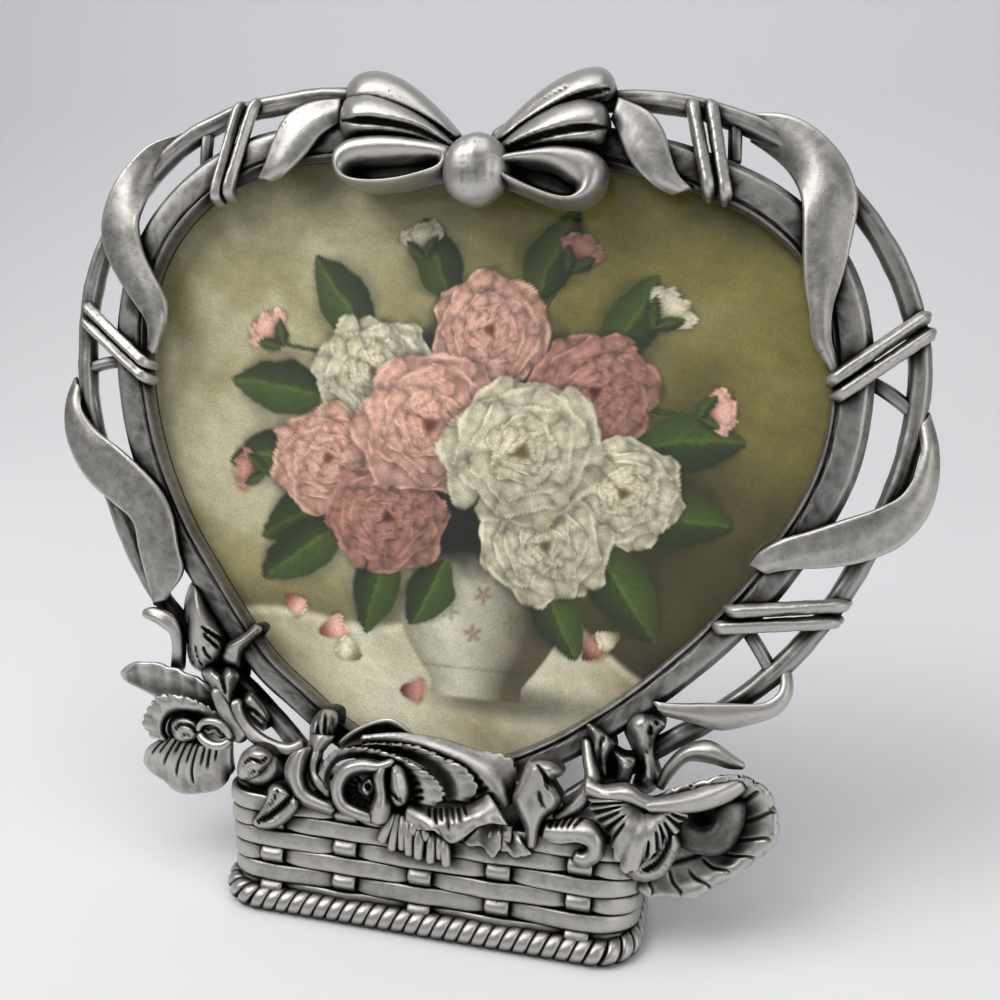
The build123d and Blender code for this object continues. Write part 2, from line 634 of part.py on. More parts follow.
def rivet(shaft_length):
    """A rivet along z: its head stands above zero and its shaft goes down."""
    head = Pos(0, 0, rivet_head_height / 2) * Cylinder(rivet_head_diameter / 2, rivet_head_height)
    return head + Pos(0, 0, -shaft_length / 2) * Cylinder(rivet_diameter / 2, shaft_length)


def button_places():
    """Each turn button's pivot on the rim's back land, and the direction from there to the opening."""
    points = [spot(x, z, rim_back_depth) for x, z in opening_shares]
    places = []
    for index in button_point_numbers:
        normal = heart_normals()[index]
        land = ledge_width + (rim_width_at(opening_shares[index][1]) - ledge_width) / 2
        places.append((points[index] + normal * land, -normal))
    return places


def back_plane(origin, inward):
    """A plane on the back of the frame, looking backwards, with its x along inward."""
    return Plane(origin=origin, x_dir=inward, z_dir=(0, 1, 0))


def turn_button(origin, inward):
    reach = button_length - button_width
    outline = Pos(reach / 2, 0) * SlotOverall(button_length, button_width) - Circle(
        rivet_diameter / 2 + pin_clearance)
    plane = back_plane(origin + Vector(0, button_gap, 0), inward)
    return extrude(plane * outline, amount=button_thickness)


def button_rivet(origin, inward):
    head_level = button_thickness + button_gap * 2
    plane = back_plane(origin + Vector(0, head_level, 0), inward)
    return plane * rivet(head_level + rim_side_width / 2)


def barrel(radius, width, centre_x):
    """A round along the hinge's pin line."""
    return Pos(centre_x, 0, 0) * Rot(0, 90, 0) * Cylinder(radius, width)


def at_hinge(shape):
    """Puts a shape that is drawn about the pin line in its place on the upright frame."""
    return Pos(0, pin_line, hinge_height) * shape


def opened(shape):
    """Turns a shape that is drawn with the strut folded flat to where the strut stands open."""
    return at_hinge(Rot(lean_angle + strut_angle, 0, 0) * shape)


def rivet_pair(level, spread, shaft_length):
    """Two rivets side by side, heads backwards, about the pin line."""
    return [Plane(origin=(side * spread / 2, 0, level), x_dir=(1, 0, 0), z_dir=(0, 1, 0)) * rivet(shaft_length)
            for side in (-1, 1)]


def hinge_plate():
    """The leaf that is riveted to the board, above the pin line, with a knuckle at each end."""
    middle_width, end_width = hinge_width * knuckle_share, hinge_width * (1 - knuckle_share) / 2 - hinge_gap
    leaf = Pos(0, board_level + hinge_leaf_thickness / 2, hinge_leaf_height / 2) * Box(
        hinge_width, hinge_leaf_thickness, hinge_leaf_height)
    leaf -= barrel(knuckle_radius + hinge_gap, middle_width + hinge_gap * 2, 0)
    for side in (-1, 1):
        leaf += barrel(knuckle_radius, end_width, side * (hinge_width - end_width) / 2)
    return leaf


def strut_leaf():
    """The moving leaf, below the pin line on the strut's back, with the middle knuckle."""
    middle_width, end_width = hinge_width * knuckle_share, hinge_width * (1 - knuckle_share) / 2
    leaf = Pos(0, strut_back + hinge_leaf_thickness / 2, -hinge_leaf_height / 2) * Box(
        strut_top_width, hinge_leaf_thickness, hinge_leaf_height)
    for side in (-1, 1):
        leaf -= barrel(knuckle_radius + hinge_gap, end_width, side * (hinge_width - end_width) / 2)
    leaf += barrel(knuckle_radius, middle_width, 0)
    return leaf - barrel(hinge_pin_diameter / 2 + pin_clearance, hinge_width, 0)


def easel_strut():
    """The strut's board: narrow at the hinge and wide at the foot, where the floor cuts it flat."""
    top, foot = -knuckle_radius - hinge_gap, -strut_length - overrun
    outline = Plane.XZ * Polygon((-strut_top_width / 2, top), (strut_top_width / 2, top),
                                 (strut_foot_width / 2, foot), (-strut_foot_width / 2, foot), align=None)
    return Pos(0, strut_back, 0) * extrude(outline, amount=strut_thickness)


# Places that follow from the sizes above
lean_rad = math.radians(lean_angle)
foot_drop = foot_level_depth * math.sin(lean_rad)
foot_shift = (basket_base_front + rope_diameter - rope_inset - basket_back) / 2 * math.cos(lean_rad)
glass_back = ledge_depth - pane_thickness
print_back = glass_back - print_thickness
card_back = print_back - card_thickness
board_back = card_back - board_thickness
pin_line = knuckle_radius + hinge_board_gap - board_back
board_level = -knuckle_radius - hinge_board_gap
strut_back = board_level + strut_fit_gap + strut_thickness
leaf_rivet_level = hinge_leaf_height * rivet_level_share
cast, placed = {}, []

# Fasteners first, so that what they hold is drilled by them
places = button_places()
place("button_rivets", [button_rivet(*pivot) for pivot in places])
place("hinge_pin", at_hinge(barrel(hinge_pin_diameter / 2, hinge_width, 0)))
board_rivets = rivet_pair(leaf_rivet_level, hinge_width * rivet_spread_share,
                          hinge_leaf_thickness + board_thickness * rivet_depth_share)
place("hinge_rivets", [at_hinge(Pos(0, board_level + hinge_leaf_thickness, 0) * one) for one in board_rivets])
strut_rivets = rivet_pair(-leaf_rivet_level, strut_top_width * rivet_spread_share,
                          hinge_leaf_thickness + strut_thickness * rivet_depth_share)
place("strut_rivets", [opened(Pos(0, strut_back + hinge_leaf_thickness, 0) * one) for one in strut_rivets])

# The heart rim: a bevelled ring with a ledge inside it for the glass
rim_outside = ruled([heart_wire(rim_back_depth, 0, True), heart_wire(rim_shoulder_depth, 0, True)])
rim_bevelled = ruled([heart_wire(rim_shoulder_depth, 0, True), heart_wire(rim_front_depth, -rim_bevel, True)])
opening = heart_slab(ledge_depth - overrun, rim_front_depth + overrun, 0)
rebate = heart_slab(rim_back_depth - overrun, ledge_depth, ledge_width)
place("inner_rim", rim_outside + rim_bevelled - opening - rebate)

# The flat stack in the rebate
inset = ledge_width - pane_clearance
place("glass_pane", heart_slab(glass_back, ledge_depth, inset))
place("picture_print", heart_slab(print_back, glass_back, inset))
place("spacer_card", heart_slab(card_back, print_back, inset))
place("back_board", heart_slab(board_back, card_back, inset))
place("hinge_plate", at_hinge(hinge_plate()))
place("strut_leaf", opened(strut_leaf()))
place("easel_strut", opened(easel_strut()))
for number, pivot in enumerate(places, 1):
    place(f"turn_button_{number}", turn_button(*pivot))

# The vine, what ties it to the heart rim, and the ribbons that wind round both
place("outer_vine_left", vine(vine_left_shares))
place("outer_vine_right", vine(vine_right_shares))
place("cross_twigs", [twig(ends) for ends in twig_shares])
place("binding_wires", [binding_wire(ends) for ends in binding_shares])
for name, stations in ribbon_shares.items():
    place(name, ribbon(stations))

# The bow: a knot and three loops on each side, the lowest pair open
place("bow_knot", Pos(spot(*knot_shares, knot_depth)) * Sphere(knot_diameter / 2))
for name, (back, front, outline) in loop_shares.items():
    loop = petal(outline, back * relief_depth, front * relief_depth)
    if name in hollow_shares:
        ends = [outline_wire(hollow_shares[name], depth) for depth in (-overrun, relief_depth + overrun)]
        loop -= ruled(ends)
    place(name, loop)

# The flowers
for name, petals in petal_shares.items():
    place(name, [petal(outline, back * relief_depth, front * relief_depth) for back, front, outline in petals])
place("left_stem", stem(stem_shares))

# The basket
place("basket_body", basket_form(0))
bands, stakes = weave()
place("basket_stakes", stakes)
place("basket_weave", bands)
place("rope_foot", upright(rope_foot()))

os.makedirs("parts", exist_ok=True)
for name, solids in cast.items():
    leaned = [floor_cut(lean(solid)) for solid in solids]
    export_step(Compound(children=leaned) if len(leaned) > 1 else leaned[0], f"parts/{name}.step")
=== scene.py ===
import math

import bmesh
import bpy
import numpy as np
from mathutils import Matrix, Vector, geometry

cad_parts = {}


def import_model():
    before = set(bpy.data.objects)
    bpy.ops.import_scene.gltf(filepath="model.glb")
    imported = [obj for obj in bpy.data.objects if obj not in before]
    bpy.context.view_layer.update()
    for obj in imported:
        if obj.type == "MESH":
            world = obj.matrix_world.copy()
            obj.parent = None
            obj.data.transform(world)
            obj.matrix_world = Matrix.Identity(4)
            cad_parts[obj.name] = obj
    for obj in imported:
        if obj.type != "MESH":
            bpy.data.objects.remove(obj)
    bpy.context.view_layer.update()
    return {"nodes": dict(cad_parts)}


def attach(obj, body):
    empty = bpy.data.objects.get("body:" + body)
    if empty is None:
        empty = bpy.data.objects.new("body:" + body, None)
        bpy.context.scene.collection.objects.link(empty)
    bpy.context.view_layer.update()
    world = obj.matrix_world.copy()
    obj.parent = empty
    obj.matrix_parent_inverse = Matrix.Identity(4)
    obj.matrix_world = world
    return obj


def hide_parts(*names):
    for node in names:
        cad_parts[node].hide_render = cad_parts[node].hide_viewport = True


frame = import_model()

# Everything is drawn in millimetres on the upright frame: x runs to the right, z runs up from the foot and
# v comes towards the viewer from the middle of the vine. world() leans it back and gives metres.
LEAN = math.radians(13.56)
LEAN_COS, LEAN_SIN = math.cos(LEAN), math.sin(LEAN)
FOOT_SHIFT = 2.236
FOOT_DROP = 1.876
MILLI = 0.001

# Points traced on the front of the frame were read at v = 0 from this eye point; seen() moves them onto
# their own depth.
EYE = np.array([47.098, 82.080, 166.657])

# Meshing: the steps of a sheet along and across it, and of a boss
SHEET_LENGTH_STEP = 0.38
SHEET_WIDTH_STEP = 0.4
SHEET_EDGE_ROLL = 0.7
BOSS_STEP = 0.42
BOSS_ROUNDNESS = 0.62
BOSS_BACK_DROP = 0.8

PETAL_THICKNESS = 0.9
WEAR_ROUNDS = 9
WEAR_REACH = 0.12


def world(points):
    x, z, v = np.asarray(points, float).reshape(-1, 3).T
    y = z * LEAN_SIN - v * LEAN_COS + FOOT_SHIFT
    height = z * LEAN_COS + v * LEAN_SIN - FOOT_DROP
    return np.stack([x, y, height], 1) * MILLI


def seen(points):
    points = np.array(points, float).reshape(-1, 3)
    points[:, :2] += (EYE[:2] - points[:, :2]) * points[:, 2:] / EYE[2]
    return points


def at_depth(outline, depth):
    """A flat traced outline, moved onto one depth along the line of sight: its x and z there."""
    return seen([(x, z, depth) for x, z in outline])[:, :2]


def unit(vectors):
    length = np.linalg.norm(vectors, axis=-1, keepdims=True)
    return vectors / np.maximum(length, 1e-9)


def smooth_step(low, high, values):
    share = np.clip((values - low) / (high - low), 0, 1)
    return share * share * (3 - 2 * share)


def round_share(values):
    """Turns a share of the way in from an edge into a share of the height of a round."""
    return 1 - (1 - np.clip(values, 0, 1)) ** 2


def through(points, steps=12, closed=False):
    """A smooth curve through the points, with a fixed number of steps between two of them."""
    points = np.asarray(points, float)
    if closed:
        ring = np.concatenate([points[-1:], points, points[:2]])
    else:
        ring = np.concatenate([[2 * points[0] - points[1]], points, [2 * points[-1] - points[-2]]])
    t = np.linspace(0, 1, steps, endpoint=False)[:, None]
    spans = zip(ring, ring[1:], ring[2:], ring[3:])
    curve = np.concatenate([0.5 * (2 * b + (c - a) * t + (2 * a - 5 * b + 4 * c - d) * t ** 2
                                   + (3 * b - a - 3 * c + d) * t ** 3) for a, b, c, d in spans])
    return curve if closed else np.concatenate([curve, points[-1:]])


def lengths_along(curve):
    return np.concatenate([[0], np.cumsum(np.linalg.norm(np.diff(curve, axis=0), axis=1))])


def read_at(places, run, values):
    """The rows of values at some places along their run."""
    return np.stack([np.interp(places, run, column) for column in values.T], 1)


def spaced(points, count, closed=False):
    """A smooth curve through the points, as count points with even spacing."""
    curve = through(points, closed=closed)
    if closed:
        curve = np.concatenate([curve, curve[:1]])
    run = lengths_along(curve)
    return read_at(np.linspace(0, run[-1], count, endpoint=not closed), run, curve)


def halfway(a, b, rise=0.0):
    """The point between two others, brought forward by rise."""
    return (np.array(a) + np.array(b)) / 2 + (0, 0, rise)


def ripple(values, seed, waves=(1.0, 2.3, 4.7)):
    """A slow irregular swing between about -1 and 1."""
    random = np.random.default_rng(seed)
    total = np.zeros_like(np.asarray(values, float))
    for wave in waves:
        total += np.sin(values * wave * 2 * math.pi + random.uniform(0, 2 * math.pi)) / wave ** 0.5
    return total / sum(1 / wave ** 0.5 for wave in waves)


def grid_faces(rows, columns, base=0, wrap_rows=False, wrap_columns=False):
    faces = []
    for i in range(rows if wrap_rows else rows - 1):
        for j in range(columns if wrap_columns else columns - 1):
            corners = ((i, j), (i, j + 1), (i + 1, j + 1), (i + 1, j))
            faces.append(tuple(base + row % rows * columns + column % columns for row, column in corners))
    return faces


def rod(path, radius, sides=16, flats=0.0, flat_count=5, twist=0.0, seed=0):
    """A round rod along a path, closed at both ends, whose section can have soft flats that wander."""
    run = lengths_along(path)
    along = unit(np.gradient(path, axis=0))
    side = unit(np.cross(along, (0.0, 0.0, 1.0)) + 1e-6)
    up = unit(np.cross(side, along))
    around = np.linspace(0, 2 * math.pi, sides, endpoint=False)
    radius = np.broadcast_to(radius, len(path))
    end_gap = np.minimum(run, run[-1] - run) / radius.max()
    radius = radius * np.sqrt(np.maximum(round_share(end_gap), 0.0004))
    turn = around * flat_count + twist * run[:, None] + ripple(run[:, None] / 40 + 0 * around, seed)
    reach = radius[:, None] * (1 + flats * (np.abs(np.cos(turn / 2)) * 2 - 1.27))
    rings = (path[:, None] + side[:, None] * (np.cos(around) * reach)[..., None]
             + up[:, None] * (np.sin(around) * reach)[..., None])
    faces = grid_faces(len(path), sides, wrap_columns=True)
    faces.append(tuple(range(sides))[::-1])
    faces.append(tuple((len(path) - 1) * sides + k for k in range(sides)))
    return rings.reshape(-1, 3), faces


def front_normals(surface):
    normal = unit(np.cross(np.gradient(surface, axis=0), np.gradient(surface, axis=1)))
    return -normal if normal[..., 2].mean() < 0 else normal


def sheet(rails, thickness=PETAL_THICKNESS, length_step=SHEET_LENGTH_STEP, scallops=0, scallop_depth=0.0,
          ruffle=0.0, ruffles=0, grooves=(), groove_depth=0.45, groove_width=0.5, seed=0):
    """A leaf of metal. Each rail runs along the piece, the first at its root and the last at its lip.
    Scallops notch the lip in its own surface, ruffles swing it back and forth, and grooves, given as shares
    of the length with the shares of the width where they start and end, are cut across the front."""
    rails = [seen(rail) for rail in rails]
    length = max(lengths_along(through(rail))[-1] for rail in rails)
    count = max(int(length / length_step), 8)
    lines = np.stack([spaced(rail, count) for rail in rails])
    width = max(np.linalg.norm(np.diff(lines[:, k], axis=0), axis=1).sum() for k in range(0, count, 4))
    columns = max(int(width / SHEET_WIDTH_STEP), 7)
    even = np.linspace(0, 1, columns)
    share = 0.5 * (1 - np.cos(even * math.pi)) / 2 + 0.5 * even
    share[0], share[-1] = 0, 1
    fine = np.stack([through(lines[:, k], 16) for k in range(count)])
    at = share * (fine.shape[1] - 1)
    low = np.clip(at.astype(int), 0, fine.shape[1] - 2)
    surface = fine[:, low] + (fine[:, low + 1] - fine[:, low]) * (at - low)[None, :, None]
    u, w = np.linspace(0, 1, count)[:, None], share[None, :]
    wave = np.abs(np.sin(u * scallops * math.pi + 0.6 * ripple(u * 2, seed)))
    notch = scallop_depth * (1 - wave) ** 1.6 * w ** 3
    surface = surface - unit(np.gradient(surface, axis=1)) * notch[..., None]
    swing = ruffle * np.sin(u * ruffles * 2 * math.pi + ripple(u * 1.5, seed + 1)) * w ** 2
    surface = surface + front_normals(surface) * swing[..., None]
    normal = front_normals(surface)
    gap = np.minimum(np.minimum(u, 1 - u) * length, np.minimum(w, 1 - w) * width)
    edge = np.clip(gap / (thickness * SHEET_EDGE_ROLL), 0, 1)
    half = thickness / 2 * np.sqrt(round_share(edge))
    front = half.copy()
    for centre, start, end in grooves:
        away = np.abs(u - centre) * length / groove_width
        reach = smooth_step(start - 0.08, start + 0.08, w) * (1 - smooth_step(end - 0.1, end + 0.06, w))
        front -= groove_depth * np.clip(1 - away, 0, 1) * reach * np.clip(edge * 3, 0, 1)
    return closed_pair(surface + normal * front[..., None], surface - normal * half[..., None])


def closed_pair(top, bottom):
    """Two grids with a shared border, joined to one closed shell."""
    rows, columns = top.shape[:2]
    index = np.arange(rows * columns).reshape(rows, columns)
    under = index + rows * columns
    under[0], under[-1], under[:, 0], under[:, -1] = index[0], index[-1], index[:, 0], index[:, -1]
    faces = []
    for i in range(rows - 1):
        for j in range(columns - 1):
            ring = ((i, j), (i, j + 1), (i + 1, j + 1), (i + 1, j))
            faces.append(tuple(index[k] for k in ring))
            corners = tuple(dict.fromkeys(under[k] for k in ring[::-1]))
            if len(corners) > 2:
                faces.append(corners)
    used = sorted({k for face in faces for k in face})
    place = {old: new for new, old in enumerate(used)}
    points = np.concatenate([top.reshape(-1, 3), bottom.reshape(-1, 3)])
    return points[used], [tuple(place[k] for k in face) for face in faces]


def distance_to(points, line, closed=False):
    """For each flat point, the distance to a polyline and the share of the line where that falls."""
    line = np.asarray(line, float)
    if closed:
        line = np.concatenate([line, line[:1]])
    best, share = np.full(len(points), np.inf), np.zeros(len(points))
    run = lengths_along(line)
    for k, (a, b) in enumerate(zip(line[:-1], line[1:])):
        step = b - a
        t = np.clip(((points - a) @ step) / max(step @ step, 1e-12), 0, 1)
        gap = np.linalg.norm(points - a - t[:, None] * step, axis=1)
        nearer = gap < best
        best[nearer] = gap[nearer]
        share[nearer] = (run[k] + t[nearer] * (run[k + 1] - run[k])) / run[-1]
    return best, share


def inside_of(points, ring):
    x, z = points[:, 0], points[:, 1]
    inside = np.zeros(len(points), bool)
    for (xa, za), (xb, zb) in zip(ring, np.roll(ring, -1, axis=0)):
        crosses = (za > z) != (zb > z)
        with np.errstate(divide="ignore", invalid="ignore"):
            cut = (xb - xa) * (z - za) / (zb - za) + xa
        inside ^= crosses & (x < cut)
    return inside


def filled_outline(ring):
    """Points and triangles that fill a closed flat outline; the outline's own points come first."""
    lowest, highest = ring.min(0), ring.max(0)
    lines = [np.arange(low, high, BOSS_STEP) for low, high in zip(lowest, highest)]
    mesh = np.stack(np.meshgrid(*lines), -1).reshape(-1, 2)
    gap, _ = distance_to(mesh, ring, closed=True)
    points = np.concatenate([ring, mesh[inside_of(mesh, ring) & (gap > BOSS_STEP * 0.45)]])
    count = len(ring)
    border = [(k, (k + 1) % count) for k in range(count)]
    out = geometry.delaunay_2d_cdt([Vector(p) for p in points], border, [tuple(range(count))], 1, 1e-5)
    return np.array([tuple(v) for v in out[0]]), [tuple(face) for face in out[2]], border


def boss(outline, low, high, roll=2.5, marks=(), ridges=(), bowls=()):
    """A domed casting on a traced outline. It rises from low at its edge to high within the roll.
    Marks are V cuts: a line, its half width, its depth. Ridges are the same, raised. Bowls are round
    hollows: a middle, a radius and a depth."""
    middle_depth = (low + high) / 2
    flat = at_depth(outline, middle_depth)
    length = lengths_along(through(flat, closed=True))[-1]
    ring = spaced(flat, max(int(length / BOSS_STEP), 16), closed=True)
    flat, faces, border = filled_outline(ring)
    edge, _ = distance_to(flat, ring, closed=True)
    height = low + (high - low) * round_share(edge / roll) ** BOSS_ROUNDNESS
    for sign, lines in ((-1, marks), (1, ridges)):
        for line, half, depth in lines:
            away, share = distance_to(flat, through(at_depth(line, middle_depth), 6))
            taper = np.clip(4 * np.minimum(share, 1 - share) + 0.25, 0, 1)
            strength = np.clip(1 - away / (half * taper), 0, 1) ** 0.9
            height += sign * depth * strength * np.clip(edge / 0.5, 0, 1)
    for middle, radius, depth in bowls:
        away = np.linalg.norm(flat - at_depth([middle], middle_depth)[0], axis=1) / radius
        height -= depth * np.clip(1 - away ** 2, 0, 1)
    height[:len(ring)] = low
    top = np.column_stack([flat, height])
    top[:, :2] += (EYE[:2] - flat) * ((height - middle_depth) / EYE[2])[:, None]
    back = low - min(BOSS_BACK_DROP, (high - low) * 0.3)
    bottom = np.column_stack([ring, np.full(len(ring), back)])
    base = len(top)
    faces += [(b, a, base + a, base + b) for a, b in border]
    faces.append(tuple(base + a for a, _ in border))
    return np.concatenate([top, bottom]), faces


def pebble(centre, radii, rows, columns, dents, seed):
    """A rounded lump. Its radii run across, up and towards the viewer."""
    rise = np.linspace(-math.pi / 2, math.pi / 2, rows + 1)[1:-1, None]
    around = np.linspace(0, 2 * math.pi, columns, endpoint=False)
    direction = np.stack([np.cos(rise) * np.cos(around), np.cos(rise) * np.sin(around),
                          np.repeat(np.sin(rise), columns, 1)], -1)
    wobble = 1 + dents * (ripple(direction[..., 0], seed) + ripple(direction[..., 1], seed + 1)) / 2
    body = direction * wobble[..., None] * np.asarray(radii, float)
    points = np.concatenate([body.reshape(-1, 3), [(0, 0, -radii[2]), (0, 0, radii[2])]])
    faces = grid_faces(rows - 1, columns, wrap_columns=True)
    south, north, last = len(points) - 2, len(points) - 1, (rows - 2) * columns
    for k in range(columns):
        faces.append((south, (k + 1) % columns, k))
        faces.append((north, last + k, last + (k + 1) % columns))
    return points + np.asarray(centre, float), faces


def joined(shells):
    points, faces, base = [], [], 0
    for shell_points, shell_faces in shells:
        points.append(shell_points)
        faces += [tuple(base + k for k in face) for face in shell_faces]
        base += len(shell_points)
    return np.concatenate(points), faces


def linked(name, data):
    """A new object in the scene."""
    piece = bpy.data.objects.new(name, data)
    bpy.context.scene.collection.objects.link(piece)
    return piece


def close_up(mesh, weld=False):
    """Turns the faces outward, after welding doubled points if asked, and shades the mesh smooth."""
    work = bmesh.new()
    work.from_mesh(mesh)
    if weld:
        bmesh.ops.remove_doubles(work, verts=work.verts, dist=MILLI / 500)
    bmesh.ops.recalc_face_normals(work, faces=work.faces)
    work.to_mesh(mesh)
    work.free()
    mesh.shade_smooth()


def read_vectors(items, label):
    values = np.zeros(len(items) * 3)
    items.foreach_get(label, values)
    return values.reshape(-1, 3)


def wear_of(mesh):
    """How far each vertex stands out of its surroundings, from -1 in a hollow to 1 on a crest."""
    count = len(mesh.vertices)
    points, normals = read_vectors(mesh.vertices, "co"), read_vectors(mesh.vertices, "normal")
    ends = np.zeros(len(mesh.edges) * 2, int)
    mesh.edges.foreach_get("vertices", ends)
    a, b = ends.reshape(-1, 2).T
    near = np.maximum(np.bincount(a, minlength=count) + np.bincount(b, minlength=count), 1)[:, None]
    smooth = points.copy()
    for _ in range(WEAR_ROUNDS):
        total = np.stack([np.bincount(a, smooth[b, k], count) + np.bincount(b, smooth[a, k], count)
                          for k in range(3)], 1)
        smooth = 0.5 * smooth + 0.5 * total / near
    stand = ((points - smooth) * normals).sum(1) / MILLI
    return np.clip(stand / WEAR_REACH, -1, 1)


def rest_on_floor(mesh):
    """Presses flat what would reach below the floor."""
    places = read_vectors(mesh.vertices, "co")
    places[:, 2] = np.maximum(places[:, 2], 0)
    mesh.vertices.foreach_set("co", places.ravel())
    mesh.update()


def solid_object(name, points, faces):
    mesh = bpy.data.meshes.new(name)
    mesh.from_pydata([tuple(p) for p in world(points)], [], faces)
    close_up(mesh)
    return linked(name, mesh)


def dress(piece, node):
    """Lets a piece stand for a node of the CAD frame."""
    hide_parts(node)
    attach(piece, "frame")


def finish_cast(piece, node):
    rest_on_floor(piece.data)
    worn = piece.data.attributes.new("worn", "FLOAT", "POINT")
    worn.data.foreach_set("value", wear_of(piece.data).astype(np.float32))
    dress(piece, node)


def cast_piece(name, node, *shells, metal=None):
    """One piece of the casting, made of closed shells, in place of a node of the CAD frame."""
    piece = solid_object(name, *joined(shells))
    piece.data.materials.append(metal or pewter)
    finish_cast(piece, node)


# Rim, vine and ties

RIM_SIDE_WIDTH = 6.4
RIM_FOOT_WIDTH = 4.5
RIM_FOOT_LEVEL = 26.2
RIM_SIDE_LEVEL = 82.5
RIM_BEAD_WIDTH = 0.8
RIM_LEDGE_REACH = 1.5
# The rim's front section, as the reach outwards from the opening and the depth: first the bead along the
# opening, then the shoulder, whose reach is a share of the rim's own width
RIM_FRONT = [(0.0, -0.5), (0.0, 1.2), (0.0, 2.5), (0.1, 2.95), (0.32, 3.15), (0.55, 3.1), (0.72, 2.88),
             (0.9, 2.86), (1.2, 3.05), (1.8, 3.2)]
RIM_SHOULDER = [(0.72, 3.3), (0.86, 2.8), (0.96, 2.1), (1.0, 1.3), (1.0, -2.5), (1.0, -6.3)]
RIM_BACK_DEPTHS = [-6.5, -6.5, -6.3, -0.5]
# Hammer marks on the rim's land: their depth, length, seed and waves, and which way they drift across it
RIM_DENTS = [(0.07, 21, 4, (1, 2.7, 6.1), 1), (0.05, 5.5, 9, (1, 2.1, 3.7), -1)]
RIM_LANES = 9

VINE_RADIUS = 1.75
VINE_STEPS = 420
VINE_SIDES = 30
VINE_FLATS = 0.06
VINE_WAVE_LENGTH = 30
VINE_WAVE = 0.15
VINE_SWELL_LENGTH = 17
VINE_SWELL = 0.05
TWIG_RADIUS = 1.1
TWIG_STEPS = 30
TWIG_CROWN = 0.3
WIRE_RADIUS = 1.0
WIRE_STEPS = 90
WIRE_DEPTH = 3.5
ROD_FLATS = 0.12
RIBBON_THICKNESS = 1.25
RIBBON_CROWN = 0.75
RIBBON_STEP = 0.45

# The heart's opening, from the dip at its top clockwise, read on the rim's own plane
OPENING = [(0, 127.3), (11, 129.6), (22, 129.9), (32, 127.8), (40.5, 124.8), (48, 121.0), (54.6, 115.4),
           (58.6, 109), (60.6, 101.5), (61.2, 93.5), (60.4, 85), (58.3, 78), (55, 71.2), (50.2, 63),
           (44.2, 55.2), (38, 48.6), (31.8, 42.7), (25, 37.2), (18.4, 32.8), (10.5, 28.8), (0, 26.2),
           (-10.5, 28.6), (-18.4, 32.3), (-25.2, 37.1), (-32, 42.2), (-38.6, 49.6), (-44.4, 57.4),
           (-49.8, 65), (-53.8, 72.2), (-56.7, 79), (-58.9, 86.5), (-60.2, 94.5), (-60.4, 102.5),
           (-59.2, 110), (-56.3, 116.4), (-51.6, 122.2), (-45.2, 127), (-37, 130.2), (-26, 131.6),
           (-12, 130.4)]

VINE_LEFT = [(-3, 134.5), (-14, 140.3), (-25.5, 142.9), (-36.5, 142), (-46, 139.9), (-54.5, 135.8),
             (-61.2, 130.2), (-67, 123.2), (-71, 116), (-73.4, 108.5), (-74.2, 100.5), (-73.9, 92.5),
             (-72.7, 85), (-70.6, 77.5), (-67.6, 69.8), (-63.8, 62), (-59.3, 54.6), (-53.6, 47.8),
             (-47, 42.2), (-40, 37.3), (-33.2, 31.8), (-27.2, 26.2), (-21, 20)]
VINE_RIGHT = [(3, 134.5), (13, 139.3), (24.5, 141), (34.5, 140.1), (43.3, 137.6), (51.5, 133.8),
              (58.8, 128.4), (64.8, 121.8), (69.6, 114.4), (72.8, 106.6), (74.3, 98.2), (74, 89.8),
              (72.6, 81.4), (69.9, 73.2), (66.6, 65.3), (62.8, 58.2), (57.8, 51), (51.8, 44.6), (45, 39),
              (37.6, 33.8), (29.8, 28), (22, 22)]
TWIGS = [((-50.6, 137.6), (-50.8, 130.5)), ((-74, 93.2), (-65.5, 95.2)), ((74, 91.4), (66.5, 96.4)),
         ((43.6, 137.4), (43.9, 130)), ((55.2, 48.3), (50, 56))]

# Each binding wire: where it rounds the vine, and where it dips into the opening
BINDINGS = [((-45.4, 142.9), (-48.6, 124.2)), ((-42.3, 143.4), (-46.2, 124.9)),
            ((36.2, 141.4), (40.4, 124.9)), ((39.2, 141.3), (43.0, 124.2)), ((-76.4, 105.6), (-60.4, 93.9)),
            ((-76.6, 102.8), (-60.4, 91.3)), ((75.1, 107.2), (60.4, 95.5)), ((76, 104.6), (61.6, 93.2)),
            ((66.3, 60.3), (46.8, 57.7)), ((65.2, 57.5), (45, 54.9))]

